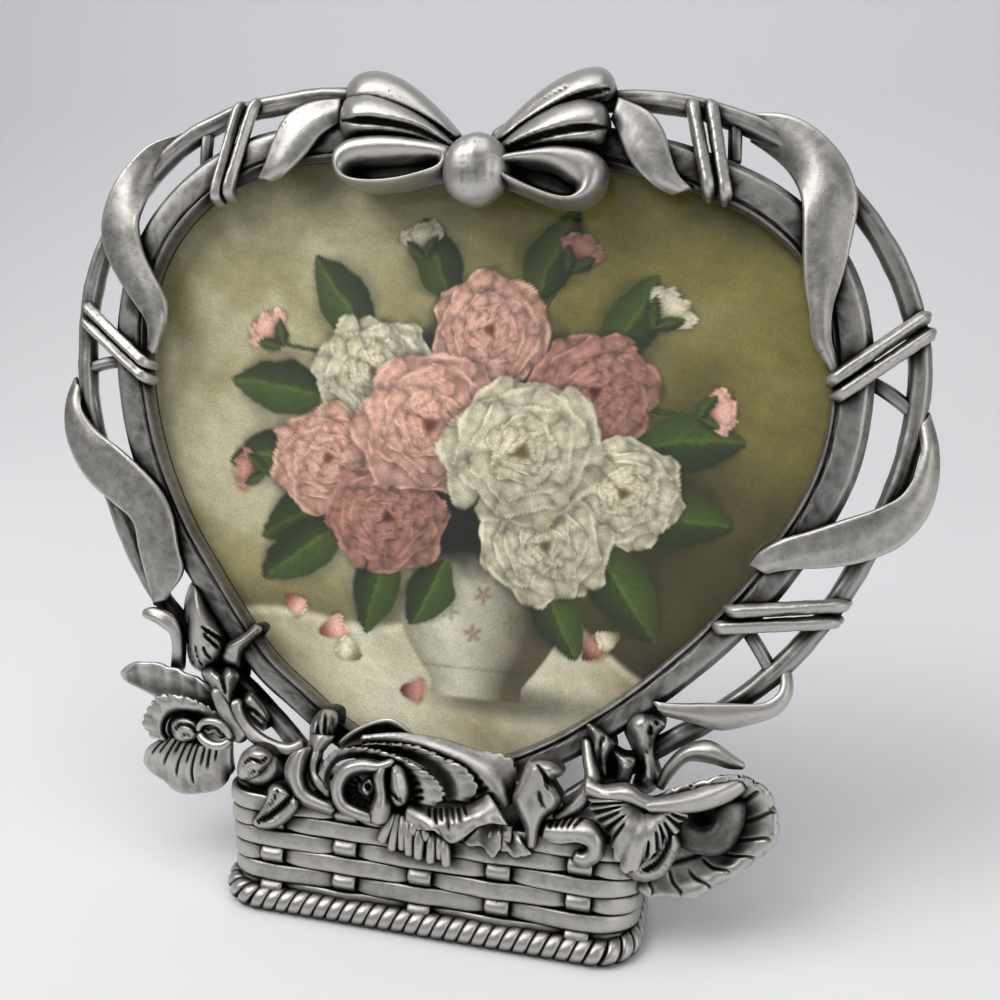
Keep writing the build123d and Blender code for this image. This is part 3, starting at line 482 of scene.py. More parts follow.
# Ribbons: a point of the outer edge and one of the inner edge at each station
RIBBONS = {
    "ribbon_neck_left": [((-24.5, 142.6, 3.0), (-24.8, 138.6, 3.2)),
                         ((-30.5, 142.2, 3.4), (-28.2, 136.4, 4.0)), ((-35.2, 140, 3.8), (-30, 134.4, 4.4)),
                         ((-37.6, 135.6, 4.0), (-31.8, 132.4, 4.4)),
                         ((-39, 131.4, 4.0), (-34.2, 130.2, 4.0)),
                         ((-40.4, 128.6, 3.0), (-37, 128.6, 2.6))],
    "ribbon_upper_left": [
        ((-55.5, 137.4, 0.2), (-56.8, 133.4, -1.4)), ((-62.3, 135.6, 1.9), (-59.6, 129.8, -1.0)),
        ((-67.3, 131.4, 2.8), (-61.8, 126.6, 0.6)), ((-70.7, 126.2, 3.0), (-63.4, 123.6, 2.9)),
        ((-72.1, 120.6, 3.0), (-64.3, 120.5, 4.2)), ((-71.2, 115.5, 3.1), (-63.2, 116, 4.3)),
        ((-68.2, 110.5, 3.4), (-60.8, 111.6, 4.3)), ((-64.6, 106, 3.7), (-58.2, 107.4, 4.2)),
        ((-61.9, 102.8, 3.8), (-57.5, 103.8, 3.4)), ((-61.2, 99.4, 3.3), (-58.4, 100.2, 2.6)),
        ((-61.0, 96.6, 2.9), (-60.3, 96.4, 2.3))],
    "ribbon_lower_left": [
        ((-76.4, 91.8, -0.6), (-75.4, 89.2, 0.6)), ((-78.3, 86.6, 1.3), (-75.2, 86, 2.6)),
        ((-78.3, 81, 2.2), (-72, 81.9, 3.6)), ((-76, 75.6, 2.6), (-67, 78.8, 4.2)),
        ((-72.4, 71.4, 2.9), (-62, 75.2, 4.3)), ((-67.5, 68.1, 3.1), (-57.6, 71.2, 4.3)),
        ((-63.2, 65, 3.2), (-54.9, 66.5, 4.2)), ((-61.7, 60, 3.0), (-53.3, 60.6, 4.0)),
        ((-60.2, 55.5, 2.7), (-52.2, 55.8, 3.6)), ((-57.6, 49, 2.2), (-55.8, 50.6, 2.6))],
    "ribbon_neck_right": [
        ((24, 141.6, 3.0), (23.4, 138.2, 3.2)), ((29.5, 139.2, 3.5), (24.6, 135.5, 3.9)),
        ((32.2, 136, 3.9), (26, 132.4, 4.3)), ((33.6, 132, 4.1), (28, 129.8, 4.2)),
        ((35, 128.8, 3.9), (31, 127.3, 3.6)), ((37.6, 126.4, 2.9), (34.4, 125.8, 2.4))],
    "ribbon_upper_right": [
        ((44.8, 138.6, -0.2), (46.2, 134.2, -1.6)), ((51.4, 138.3, 1.7), (50.4, 131.0, -1.0)),
        ((56.6, 135.6, 2.7), (53.0, 128.2, 0.8)), ((61, 130.8, 3.0), (54.6, 124.8, 3.2)),
        ((63.2, 125, 3.0), (55, 121.4, 4.2)), ((62.8, 119, 3.1), (55.3, 116.4, 4.3)),
        ((61.8, 113, 3.5), (55.9, 111.4, 4.2)), ((60.5, 108, 3.8), (57, 107, 3.9)),
        ((60.5, 103.2, 3.6), (58, 102.6, 3.3)), ((61.3, 100.0, 3.3), (59.8, 99.6, 2.8)),
        ((62.2, 97.4, 2.9), (61.6, 97.0, 2.4))],
    "ribbon_lower_right": [
        ((75.8, 92, -0.6), (74.8, 89.4, 0.4)), ((77.6, 86.5, 1.4), (75.4, 84.6, 2.6)),
        ((78.1, 80.6, 2.3), (73.2, 79, 3.6)), ((76.8, 75, 2.7), (69.4, 76.3, 4.1)),
        ((73.4, 70.5, 3.0), (64.5, 74.2, 4.3)), ((68.5, 67.8, 3.3), (59.5, 72, 4.3)),
        ((63, 66.3, 3.6), (55, 70.2, 4.2)), ((57, 65.6, 3.8), (51.9, 67.9, 3.2)),
        ((52.9, 64.6, 2.9), (50.4, 65.4, 1.8))],
    "ribbon_tail_right": [
        ((57.6, 50.4, -0.6), (56.6, 48.8, 0.2)), ((58.4, 45.6, 1.0), (56.6, 45.3, 2.0)),
        ((56.8, 42, 1.8), (54, 43.2, 2.8)), ((53, 39.8, 2.2), (49.8, 42.7, 3.2)),
        ((48, 38, 2.6), (44.5, 42.2, 3.6)), ((43.2, 38.8, 3.0), (40, 41.6, 3.8)),
        ((38, 39.6, 3.4), (36, 41.4, 3.8))],
}


def ring_normals(points):
    along = unit(np.roll(points, -1, axis=0) - np.roll(points, 1, axis=0))
    return np.stack([-along[:, 1], along[:, 0]], 1)


def rim_shell():
    path = through(OPENING, 10, closed=True)
    share = np.clip((path[:, 1] - RIM_FOOT_LEVEL) / (RIM_SIDE_LEVEL - RIM_FOOT_LEVEL), 0, 1)
    width = RIM_FOOT_WIDTH + (RIM_SIDE_WIDTH - RIM_FOOT_WIDTH) * share
    level = np.ones(len(path))
    section = [(out * level, depth * level) for out, depth in RIM_FRONT]
    section += [(width * part, depth * level) for part, depth in RIM_SHOULDER]
    section = through(np.array(section).reshape(len(section), -1), 3).reshape(-1, 2, len(path))
    reaches, depths = section.transpose(1, 2, 0)
    run = lengths_along(path)[:, None]
    lane = np.arange(reaches.shape[1]) / RIM_LANES
    dents = sum(depth * ripple(run / wave_length + drift * lane, seed, waves)
                for depth, wave_length, seed, waves, drift in RIM_DENTS)
    depths = depths + dents * (reaches > RIM_BEAD_WIDTH) * (depths > 0)
    back = [width - 0.2, 1.7 * level, RIM_LEDGE_REACH * level, RIM_LEDGE_REACH * level]
    reaches = np.column_stack([reaches, *back])
    depths = np.column_stack([depths, np.tile(RIM_BACK_DEPTHS, (len(path), 1))])
    flat = path[:, None] + ring_normals(path)[:, None] * reaches[..., None]
    points = np.concatenate([flat, depths[..., None]], -1)
    return points.reshape(-1, 3), grid_faces(*reaches.shape, wrap_rows=True, wrap_columns=True)


def vine_shell(points, seed):
    path = spaced([(x, z, 0) for x, z in points], VINE_STEPS)
    run = lengths_along(path)
    path[:, 2] += VINE_WAVE * ripple(run / VINE_WAVE_LENGTH, seed)
    radius = VINE_RADIUS * (1 + VINE_SWELL * ripple(run / VINE_SWELL_LENGTH, seed + 2))
    return rod(path, radius, sides=VINE_SIDES, flats=VINE_FLATS, twist=0.02, seed=seed)


def twig_shell(number, ends):
    (xa, za), (xb, zb) = ends
    middle = ((xa + xb) / 2, (za + zb) / 2 + TWIG_CROWN, TWIG_CROWN)
    path = spaced([(xa, za, 0), middle, (xb, zb, 0)], TWIG_STEPS)
    return rod(path, TWIG_RADIUS, sides=14, flats=ROD_FLATS, seed=number)


def wire_shell(number, ends):
    """Up round the vine, across the front, and down over the rim's inner wall."""
    start, end = at_depth(ends, WIRE_DEPTH)
    reach = math.dist(start, end)
    stations = [(0.0, -1.2), (0.35, 0.6), (1.6, 2.25), (reach * 0.4, 3.2), (reach - 3.6, 4.15),
                (reach - 1.6, 4.0), (reach - 1.0, 2.4), (reach - 0.9, 0.9)]
    path = spaced([(*(start + unit(end - start) * out), depth) for out, depth in stations], WIRE_STEPS)
    radius = WIRE_RADIUS * (1.08 + 0.05 * ripple(np.linspace(0, 5, WIRE_STEPS), number))
    return rod(path, radius, flats=ROD_FLATS, flat_count=4, twist=0.08, seed=number)


def strip(stations, crown, **options):
    """A sheet between the edges that the stations give, raised along its middle by crown."""
    outer, inner = zip(*stations)
    return sheet([outer, [halfway(a, b, crown) for a, b in stations], inner], **options)


# Bow

KNOT = (0.6, 130.0, 7.0)
KNOT_RADII = (5.7, 6.0, 4.6)
LOOPS = {
    "bow_loop_upper_left": (
        [(-3, 136.6), (-8, 141.7), (-13, 145.4), (-18, 147.3), (-22, 146.8), (-24, 144.4), (-23.4, 141.6),
         (-18, 139.6), (-10, 137), (-4.5, 134.8)],
        [([(-4, 135.8), (-11, 139.4), (-18, 141.9), (-23.4, 142.4)], 0.8, 1.2)]),
    "bow_loop_middle_left": (
        [(-4, 135), (-9.5, 139.6), (-15, 142.4), (-20, 143.8), (-23.8, 142.9), (-25.2, 140.2),
         (-24.6, 136.9), (-22, 135.3), (-16, 135.3), (-10, 134.7), (-5, 133.2)],
        [([(-5, 134.4), (-11, 137.2), (-18, 138.6), (-24.6, 138.9)], 0.9, 1.5)]),
    "bow_loop_upper_right": (
        [(3.4, 135.6), (8, 140.6), (13, 144.4), (17.5, 146.4), (21.3, 146.6), (23.5, 144.5), (23.4, 141.6),
         (19, 139.8), (11, 136.8), (4.6, 134)],
        [
            ([(5, 134.8), (11, 138.6), (17, 141.6), (23, 143.2)], 0.8, 1.1),
            ([(6, 137), (11, 141.2), (16, 143.8)], 0.55, 0.5)]),
    "bow_loop_middle_right": (
        [(4, 134), (9, 138.4), (14, 141.1), (19, 141.9), (22.3, 140.2), (23, 137), (21.8, 133.8),
         (17, 132.9), (11, 133.2), (5.4, 132.4)],
        [([(5, 133.2), (11, 135.4), (17, 136.6), (22.6, 136.8)], 0.9, 1.4)]),
}
LOOP_LEVELS = {
    "bow_loop_upper_left": (2.0, 6.2),
    "bow_loop_upper_right": (2.0, 6.2),
    "bow_loop_middle_left": (3.9, 8.8),
    "bow_loop_middle_right": (3.9, 8.8),
}
OPEN_LOOPS = {
    "bow_loop_lower_left": (
        [(-3.5, 133.6), (-11, 135.6), (-17, 136.3), (-22.4, 135.8), (-25.4, 133.8), (-25.8, 131),
         (-24.3, 128.5), (-20.5, 127.1), (-15, 126.9), (-9.5, 127.9), (-4, 129.6)],
        [(-6.5, 131.1), (-11, 131.5), (-16, 131.3), (-20.5, 130.9), (-22.5, 129.9), (-21.8, 128.8),
         (-18.3, 128.3), (-13.5, 128.6), (-9.5, 129.4), (-6.8, 130.4)]),
    "bow_loop_lower_right": (
        [(3.4, 131.6), (10, 133.2), (15, 133.9), (20, 133.3), (22.8, 131.2), (23.2, 128.4), (22, 125.7),
         (19, 124), (15, 124), (10, 125.7), (4, 128.4)],
        [(6.5, 130.1), (9.5, 130.4), (13.3, 129.8), (16.2, 128.2), (18.0, 126.6), (17.4, 125.4),
         (15.2, 125.5), (11, 126.9), (7, 128.9)]),
}
OPEN_LOOP_LEVELS = (3.6, 9.3)
LOOP_FLOOR_SPREAD = 1.12
BAND_SIDES = 18
BAND_STEPS = 110
BAND_ROUNDNESS = 0.62
BAND_BACK_DROP = 0.6
TURN_BLEND = 6


def matched(outside, inside):
    """The points of an inner ring that face those of an outer one, kept in even order round it."""
    count = len(inside)
    nearest = [np.argmin(np.linalg.norm(inside - p, axis=1)) for p in outside]
    order = np.unwrap(np.array(nearest) * 2 * math.pi / count)
    lap = 2 * math.pi * np.sign(order[-1] - order[0])
    order = np.concatenate([order[-TURN_BLEND:] - lap, order, order[:TURN_BLEND] + lap])
    window = 2 * TURN_BLEND + 1
    order = np.convolve(order, np.ones(window) / window, "valid")
    place = (order / (2 * math.pi) * count) % count
    return read_at(place, np.arange(count + 1), np.concatenate([inside, inside[:1]]))


def band_shell(outer, inner, low, high):
    """A hollow loop: a rounded band between an outer and an inner outline, flat at the back."""
    middle_depth = (low + high) / 2
    outside = spaced(at_depth(outer, middle_depth), BAND_STEPS, closed=True)
    inside = matched(outside, spaced(at_depth(inner, middle_depth), BAND_STEPS * 4, closed=True))
    around = np.linspace(0, math.pi, BAND_SIDES)
    section = list(zip((1 - np.cos(around)) / 2, low + (high - low) * np.sin(around) ** BAND_ROUNDNESS))
    section += [(share, low - BAND_BACK_DROP) for share in (0.97, 0.5, 0.03)]
    rows = np.array([[(*(a + (b - a) * share), depth) for share, depth in section]
                     for a, b in zip(outside, inside)])
    return rows.reshape(-1, 3), grid_faces(*rows.shape[:2], wrap_rows=True, wrap_columns=True)


def open_loop_shells(outer, inner):
    low, high = OPEN_LOOP_LEVELS
    middle = np.mean(inner, axis=0)
    floor = middle + (np.array(inner) - middle) * LOOP_FLOOR_SPREAD
    return band_shell(outer, inner, low, high), boss(floor, low - 0.2, low + 0.5, roll=1.2)


# In the tables that follow, a sheet is given by its rails, from one edge to the other, and a boss by its
# outline. Cuts and ridges are each a line, its half width and its depth. Slits, pleats and veins are a share
# of the sheet's length, and where they start and end across it.

# Left group

CAMELLIA_UPPER = [
    [(-62.6, 34.1, 0.6), (-58.6, 32.4, 0.8), (-54, 30.6, 1.0), (-49, 29.4, 1.4), (-43.4, 28.4, 2.0)],
    [(-64.3, 34.9, 1.8), (-60, 34.4, 1.2), (-55, 33.6, 1.2), (-49.5, 33, 1.6), (-43, 31, 2.4)],
    [(-64.8, 35.6, 3.4), (-61.4, 36.6, 3.4), (-57.4, 36.8, 3.2), (-52, 36, 3.4), (-43, 33, 4)],
    [(-64.4, 36.2, 4.2), (-61.4, 37.9, 4.3), (-58.2, 38.3, 4.0), (-52, 37.4, 4.2), (-43.4, 34.8, 4.4)]]
CAMELLIA_MIDDLE = [
    [(-53.6, 23.6, 4.2), (-54.8, 25.4, 4.0), (-54.4, 27.4, 4.0), (-52.7, 29.0, 4.2), (-49.8, 29.6, 4.4),
     (-46.6, 29.4, 4.4), (-43, 28, 4.4)],
    [(-55, 23.6, 6.2), (-56.2, 25.6, 6.2), (-55.8, 28.4, 6.2), (-53.9, 30.4, 6.4), (-50, 30.7, 6.8),
     (-46.4, 30.3, 6.8), (-42.6, 28.6, 6.4)],
    [(-57.4, 23.8, 6.4), (-59.7, 26.4, 6.2), (-58.7, 29.4, 6.0), (-56.3, 32.4, 6.0), (-51.6, 32.8, 6.6),
     (-46.8, 31.7, 7.0), (-42.4, 29.8, 6.8)]]
CAMELLIA_LOWER = [
    [(-55.0, 24.1, 4.4), (-52.0, 24.7, 4.8), (-48.4, 24.3, 5.2), (-44.8, 23.7, 5.2), (-40.4, 24.8, 4.4)],
    [(-58.2, 22.0, 4.2), (-54.4, 20.2, 5.0), (-49.8, 18.9, 5.2), (-45.0, 19.4, 4.8), (-40.2, 22.2, 4.0)],
    [(-58.9, 19.6, 2.2), (-55.2, 16.4, 2.0), (-49.5, 14.2, 1.8), (-43.2, 16.0, 2.0), (-39.8, 20.2, 2.4)]]
CAMELLIA_SLITS = [(0.1, 0.0, 0.5), (0.17, 0.0, 0.38), (0.26, 0.0, 0.56), (0.33, 0.0, 0.3),
                  (0.41, 0.0, 0.62), (0.49, 0.0, 0.34), (0.56, 0.0, 0.7), (0.65, 0.0, 0.36),
                  (0.72, 0.0, 0.44), (0.8, 0.0, 0.28)]
CAMELLIA_CURL = [(-53.7, 26.5), (-52.6, 28.3), (-50.4, 28.9), (-48.2, 28.3), (-47.2, 26.9), (-47.8, 25.1),
                 (-49.6, 24.0), (-52.3, 23.8)]
CAMELLIA_CURL_CUTS = [
    ([(-52.8, 26.0), (-51.2, 27.2), (-49.2, 27.0), (-48.0, 26.0)], 0.5, 1.1),
    ([(-51.6, 24.6), (-50.4, 25.6), (-49.2, 25.2)], 0.4, 0.7)]
CAMELLIA_FLOOR = [(-54.6, 26.2), (-53, 29.2), (-48.4, 30), (-43, 29), (-40.6, 26.4), (-42, 23.8),
                  (-47, 23.2), (-53, 23.6)]
CAMELLIA_LIPS = [
    (
        [(-47.6, 26.4, 8.2), (-47.2, 27.7, 8.8), (-45.8, 28.4, 9.2), (-43.8, 28.3, 9.2), (-42.1, 27.2, 9.0),
         (-41.0, 25.6, 8.4)],
        0.62),
    (
        [(-47.5, 26.0, 8.2), (-46.4, 24.7, 8.8), (-44.4, 24.0, 9.2), (-42.4, 24.3, 9.0),
         (-40.9, 25.5, 8.4)],
        0.78),
    (
        [(-46.6, 26.9, 7.8), (-45.5, 26.3, 8.2), (-44.3, 26.9, 8.2), (-43.1, 26.0, 8.2),
         (-41.9, 26.3, 7.8)],
        0.5)]
LEFT_BUD = [(-51.6, 51.4), (-50.4, 54.4), (-48.2, 53.6), (-45.6, 49.6), (-42.6, 45.6), (-42, 42),
            (-43.6, 38.8), (-46.8, 37.4), (-49.8, 38.6), (-51.2, 42.5), (-51.9, 47.4)]
LEFT_BUD_CUTS = [
    ([(-47.9, 46.0), (-46.4, 45.2), (-44.6, 44.4), (-43.0, 43.6)], 0.5, 1.3),
    ([(-47.6, 44.9), (-46.0, 43.6), (-44.2, 42.4)], 0.45, 1.0),
    ([(-50.6, 47.6), (-50.9, 44.5), (-50.4, 41), (-49.2, 38.9)], 0.5, 1.2),
    ([(-49.0, 42.4), (-48.6, 40.6), (-47.6, 39.0)], 0.4, 0.9),
    ([(-47.4, 42.6), (-46.8, 41.2), (-45.6, 40.2)], 0.4, 0.9)]
LEFT_SEPAL = (
    [(-60.4, 47.4, 3.2), (-58.2, 47.6, 3.6), (-55.6, 46.8, 3.6), (-53.4, 45.2, 3.0), (-52.6, 42.6, 2.0),
     (-52.5, 39.6, 1.2), (-52.7, 37, 0.6)],
    [0.9, 1.35, 1.5, 1.35, 1.25, 1.3, 1.4])
HORN_STEPS = 70
RIGHT_SEPAL = [(-35.5, 46.9), (-37.2, 47.7), (-39.6, 46), (-43.2, 43.6), (-44.5, 41), (-42.6, 38.8),
               (-39.8, 39), (-38.9, 42), (-36.8, 44.6)]
RIGHT_SEPAL_RIDGES = [([(-36.0, 47.0), (-39.4, 44.4), (-43.2, 42.2)], 0.8, 0.6)]
BUD_COLLAR = [(-47.7, 37.0), (-47.0, 38.8), (-45.2, 39.5), (-43.8, 38.8), (-42.4, 39.8), (-40.4, 39.2),
              (-39.6, 37.6), (-40.3, 34.4), (-40.2, 30.6), (-42.6, 31.2), (-45.6, 34.2)]
BUD_COLLAR_CUTS = [([(-43.8, 39.4), (-43.2, 36.8), (-42.4, 34)], 0.7, 1.0)]
STEMS = [
    ([(-44.2, 35.4, 5.4), (-42.8, 31.6, 6.0), (-41.0, 28.4, 6.6), (-38.0, 25.6, 6.4)], 1.45),
    (
        [(-40.4, 33.4, 5.2), (-39.6, 30.4, 5.6), (-37.4, 27.6, 6.0), (-33.6, 25.6, 6.2), (-29.2, 25.0, 6.0),
         (-25.8, 26.6, 5)],
        1.2)]
CURL_LEAF = [(-40, 32.7), (-37.8, 35.2), (-35.4, 33.8), (-33.4, 31.4), (-33.3, 29.8), (-34.6, 27.8),
             (-37.6, 29.2)]
CURL_LEAF_CUTS = [([(-39.2, 31.6), (-36.6, 31.4), (-34, 29.6)], 0.6, 0.7)]
LOWER_LEAF = [(-36.0, 10.3), (-34, 9.4), (-30.8, 10.1), (-28, 12.4), (-26.4, 15.2), (-27.4, 16.9),
              (-30.4, 18.4), (-32.8, 17.8), (-33.6, 15), (-34.8, 12.6)]
LOWER_LEAF_CUTS = [
    ([(-35.0, 10.6), (-32.2, 12.4), (-29.6, 14.8), (-28.0, 17.0)], 0.6, 1.3),
    ([(-34.4, 12.2), (-32.2, 14.6), (-30.8, 17.6)], 0.35, 0.5)]
LOWER_LEAF_RIDGES = [([(-34.4, 9.9), (-30.6, 11.0), (-28.2, 13.2), (-27.0, 15.8)], 0.9, 0.7)]
SMALL_BUD_BACK = [(-38.6, 20), (-37.4, 23.4), (-34.6, 24.4), (-31.6, 23.9), (-30.1, 21.6), (-30.6, 18.9),
                  (-32.9, 17.1), (-35.8, 16.6), (-38.2, 17.8)]
SMALL_BUD_FRONT = [(-39.5, 20.6), (-38.6, 23.3), (-36.4, 24.9), (-33.6, 24.6), (-32.1, 23.0), (-33.4, 20.9),
                   (-34.8, 19.0), (-37.4, 18.0), (-39.2, 18.6)]
SMALL_BUD_CUTS = [
    ([(-38.6, 21.0), (-36.6, 22.4), (-34.6, 22.2), (-33.2, 23.6)], 0.45, 0.9),
    ([(-37.2, 19.2), (-35.8, 20.4), (-34.6, 20.2)], 0.4, 0.7)]

# Rose

ROSE_CRESCENT = [
    [(-24.6, 26.4, 8.6), (-25.4, 23.4, 9.0), (-25.6, 20.4, 9.4), (-24.2, 17.9, 9.8), (-20, 15.8, 10.2)],
    [(-26.6, 25.6, 10.8), (-27.6, 22.8, 11.4), (-27.6, 19.6, 11.8), (-25.6, 16.7, 12.0),
     (-19.6, 15.2, 11.8)],
    [(-27.4, 24.9, 9.2), (-29.4, 22.8, 9.4), (-29.5, 19.8, 9.6), (-26.8, 15.8, 9.8), (-19.8, 14.4, 10.4)]]
ROSE_STRIP = [
    [(-25.2, 28.6, 6.6), (-25.2, 25.4, 7.6), (-25.4, 22.4, 8.4), (-24.2, 19.4, 9.2), (-21.0, 16.9, 9.8)],
    [(-22.8, 28.8, 8.0), (-24.0, 25.4, 9.0), (-24.4, 22.4, 9.9), (-23.4, 19.9, 10.6), (-20.8, 17.4, 11.0)],
    [(-20.4, 28.8, 6.6), (-22.4, 25.2, 7.8), (-23.2, 22.6, 8.8), (-22.6, 20.3, 9.6), (-20.4, 18.2, 10.2)]]
ROSE_TIP = [(-25.2, 28.0), (-25.1, 31), (-23.6, 33.0), (-21.6, 33.6), (-19.9, 32.8), (-20.0, 30.0),
            (-21.0, 27.2), (-23.2, 26.2)]
ROSE_TIP_CUTS = [
    ([(-23.9, 32.2), (-23.7, 30), (-23.5, 27.8)], 0.5, 1.5),
    ([(-22.2, 32.8), (-22.3, 30.2), (-22.5, 28.2)], 0.45, 1.3),
    ([(-20.9, 32.4), (-21.2, 30), (-21.8, 28)], 0.4, 0.9)]
ROSE_ARCH = [
    [(-19.6, 26.2, 3.8), (-16, 27.6, 4.0), (-10.6, 28.6, 4.2), (-5.2, 28.8, 4.6)],
    [(-19.6, 27.2, 5.0), (-16, 29.6, 4.4), (-10.2, 31.2, 4.4), (-5.2, 29.6, 5.0)],
    [(-19.6, 27.4, 6.6), (-15.8, 30.6, 6.2), (-10, 33.1, 6.0), (-5.0, 30.4, 6.4)]]
ROSE_BACK = [
    [(-15, 27.4, 5.8), (-8.8, 28.2, 5.6), (-3, 27.2, 5.4), (2.6, 24.6, 5.2), (6.0, 21.6, 5.2),
     (8.4, 18.4, 5.6)],
    [(-15.2, 28.0, 7.6), (-8.6, 29.0, 7.6), (-1.4, 28.4, 7.8), (5.0, 26.4, 8.2), (9.0, 23.6, 8.8),
     (12.0, 19.8, 9.0)],
    [(-15.4, 28.8, 8.0), (-8.4, 30.2, 7.4), (-1.0, 30.0, 6.8), (6.4, 28.4, 6.6), (10.8, 26.4, 6.8),
     (13.2, 21.0, 7.8)],
    [(-15.4, 29.0, 7.4), (-8.0, 30.4, 6.6), (-0.6, 30.4, 5.8), (6.2, 29.4, 5.6), (12.8, 28.8, 5.4),
     (13.6, 23.4, 6.4)]]
ROSE_OUTER_ARC = [
    [(-15.2, 26.4, 7.2), (-10.4, 27.0, 7.0), (-5.6, 26.4, 7.0), (-2.4, 25.0, 6.8), (-0.4, 22.9, 7.0),
     (0.6, 20.9, 7.4), (1.8, 19.6, 8.0)],
    [(-15.0, 27.4, 8.6), (-10.2, 27.9, 8.6), (-5.2, 27.8, 8.8), (-0.8, 26.3, 9.0), (2.4, 24.2, 9.4),
     (3.8, 21.9, 9.6), (3.4, 19.8, 9.6)],
    [(-14.8, 28.1, 8.8), (-10.0, 28.7, 8.8), (-4.8, 28.8, 9.0), (0.2, 27.4, 9.2), (4.6, 26.0, 9.4),
     (7.1, 22.8, 9.4), (5.4, 19.6, 9.4)]]
ROSE_INNER_ARC = [
    [(-21.0, 18.2, 8.0), (-21.2, 21.6, 8.2), (-19.2, 24.4, 8.6), (-15, 25.6, 8.8), (-10.6, 25.4, 8.8),
     (-8.0, 24.2, 8.8), (-6.8, 22.0, 9.0), (-5.4, 19.6, 9.2), (-4.0, 18.6, 9.4)],
    [(-21.8, 18.4, 10.0), (-22.0, 21.8, 10.2), (-19.9, 25.1, 10.6), (-15.4, 26.4, 10.8),
     (-10.4, 26.2, 11.0), (-6.2, 24.8, 11.2), (-3.6, 22.7, 11.3), (-2.4, 20.4, 11.3), (-2.8, 18.4, 11.0)],
    [(-22.7, 18.6, 10.0), (-23.0, 21.8, 10.2), (-20.7, 25.8, 10.6), (-16, 27.2, 11.0), (-10.2, 26.9, 11.2),
     (-5.0, 25.5, 11.3), (-1.0, 23.6, 11.2), (1.2, 20.8, 11.0), (-0.9, 18.2, 10.9)]]
ROSE_CUP = [
    [(-8.9, 25.0, 10.6), (-11.8, 23.1, 10.4), (-14.8, 22.6, 10.2), (-17.0, 21.2, 10.2), (-17.9, 19.2, 10.2),
     (-17.2, 17.2, 10.4), (-15.2, 16.3, 10.8), (-12.6, 15.8, 11.2)],
    [(-8.8, 25.3, 12.4), (-11.8, 24.0, 12.8), (-15.0, 23.8, 13.0), (-18.0, 22.3, 13.2), (-19.2, 19.2, 13.2),
     (-18.2, 16.4, 13.2), (-15.4, 15.2, 13.2), (-12.4, 14.6, 12.8)],
    [(-8.7, 25.8, 11.4), (-11.7, 24.9, 11.4), (-15.2, 24.9, 11.6), (-18.9, 23.2, 11.8), (-20.3, 19.2, 11.8),
     (-19.0, 15.6, 11.8), (-15.4, 14.3, 11.8), (-12.2, 13.8, 11.6)]]
ROSE_FLOOR = [(-18.4, 19.4), (-17, 22.4), (-13.6, 23.6), (-9.8, 24.4), (-8.2, 22), (-8.4, 17.6),
              (-10.6, 15), (-14.4, 15.2), (-17.6, 16.6)]
ROSE_FLOOR_CUTS = [([(-17.9, 19.8), (-15.2, 19.6)], 0.35, 0.9), ([(-17.6, 18.4), (-15.0, 19.0)], 0.35, 0.9),
                   ([(-16.8, 17.1), (-14.8, 18.5)], 0.35, 0.9), ([(-15.4, 16.4), (-14.2, 18.1)], 0.35, 0.9),
                   ([(-13.9, 16.2), (-13.4, 17.9)], 0.35, 0.9), ([(-12.4, 16.2), (-12.6, 18.0)], 0.35, 0.9),
                   ([(-17.4, 21.2), (-15.2, 20.4)], 0.35, 0.9),
                   ([(-16.2, 22.2), (-14.8, 21.0)], 0.35, 0.8)]
ROSE_DROP = [(-13.0, 22.4), (-14.7, 20.8), (-15.0, 19.1), (-13.8, 18.1), (-12.4, 18.8), (-12.0, 20.6)]
ROSE_TONGUE = [
    [(-11.2, 25.0, 11.0), (-12.5, 22.3, 11.4), (-11.8, 19.2, 11.6), (-12.6, 16.8, 11.8),
     (-13.2, 14.3, 11.8)],
    [(-10.7, 24.8, 12.6), (-11.3, 22.2, 13.2), (-10.8, 19.2, 13.4), (-11.2, 16.6, 13.9),
     (-11.4, 13.6, 12.8)],
    [(-10.2, 24.4, 11.0), (-10.0, 22.0, 11.4), (-9.9, 19.4, 11.6), (-8.9, 17.2, 11.8), (-9.6, 14.2, 11.6)]]
ROSE_FOLD = [(-9.3, 25.0), (-7.0, 24.8), (-5.7, 22.2), (-5.5, 19.4), (-6.6, 17.5), (-8.2, 17.2),
             (-9.5, 18.4), (-9.9, 21)]
ROSE_FOLD_CUTS = [([(-9.6, 20.0), (-8.2, 19.2), (-6.8, 18.4)], 0.5, 1.0)]
ROSE_FOLD_RIDGES = [([(-8.9, 24.4), (-8.1, 21.4), (-7.5, 18.9)], 0.9, 0.7)]
ROSE_FRONT = [
    [(-6.2, 19.2, 8.8), (-3.6, 18.4, 9.0), (0, 18.2, 9.0), (4, 18.9, 9.0), (7.0, 20.4, 9.0),
     (9.0, 22.2, 8.8)],
    [(-6.2, 17.2, 11.0), (-3.2, 16.0, 11.6), (0.6, 15.6, 12.0), (4.6, 16.6, 12.4), (8.0, 18.4, 12.0),
     (10.6, 20.0, 10.6)],
    [(-5.9, 14.6, 10.6), (-3.4, 13.6, 11.6), (-0.4, 13.9, 12.6), (2.6, 12.0, 12.0), (5.2, 13.8, 12.2),
     (8.4, 16.4, 12.2), (13.0, 16.8, 11.0)]]
ROSE_FRONT_SLITS = [(0.28, 0.0, 0.42), (0.35, 0.0, 0.6), (0.41, 0.0, 0.48), (0.48, 0.0, 0.66),
                    (0.54, 0.0, 0.5), (0.61, 0.0, 0.62), (0.68, 0.0, 0.4)]
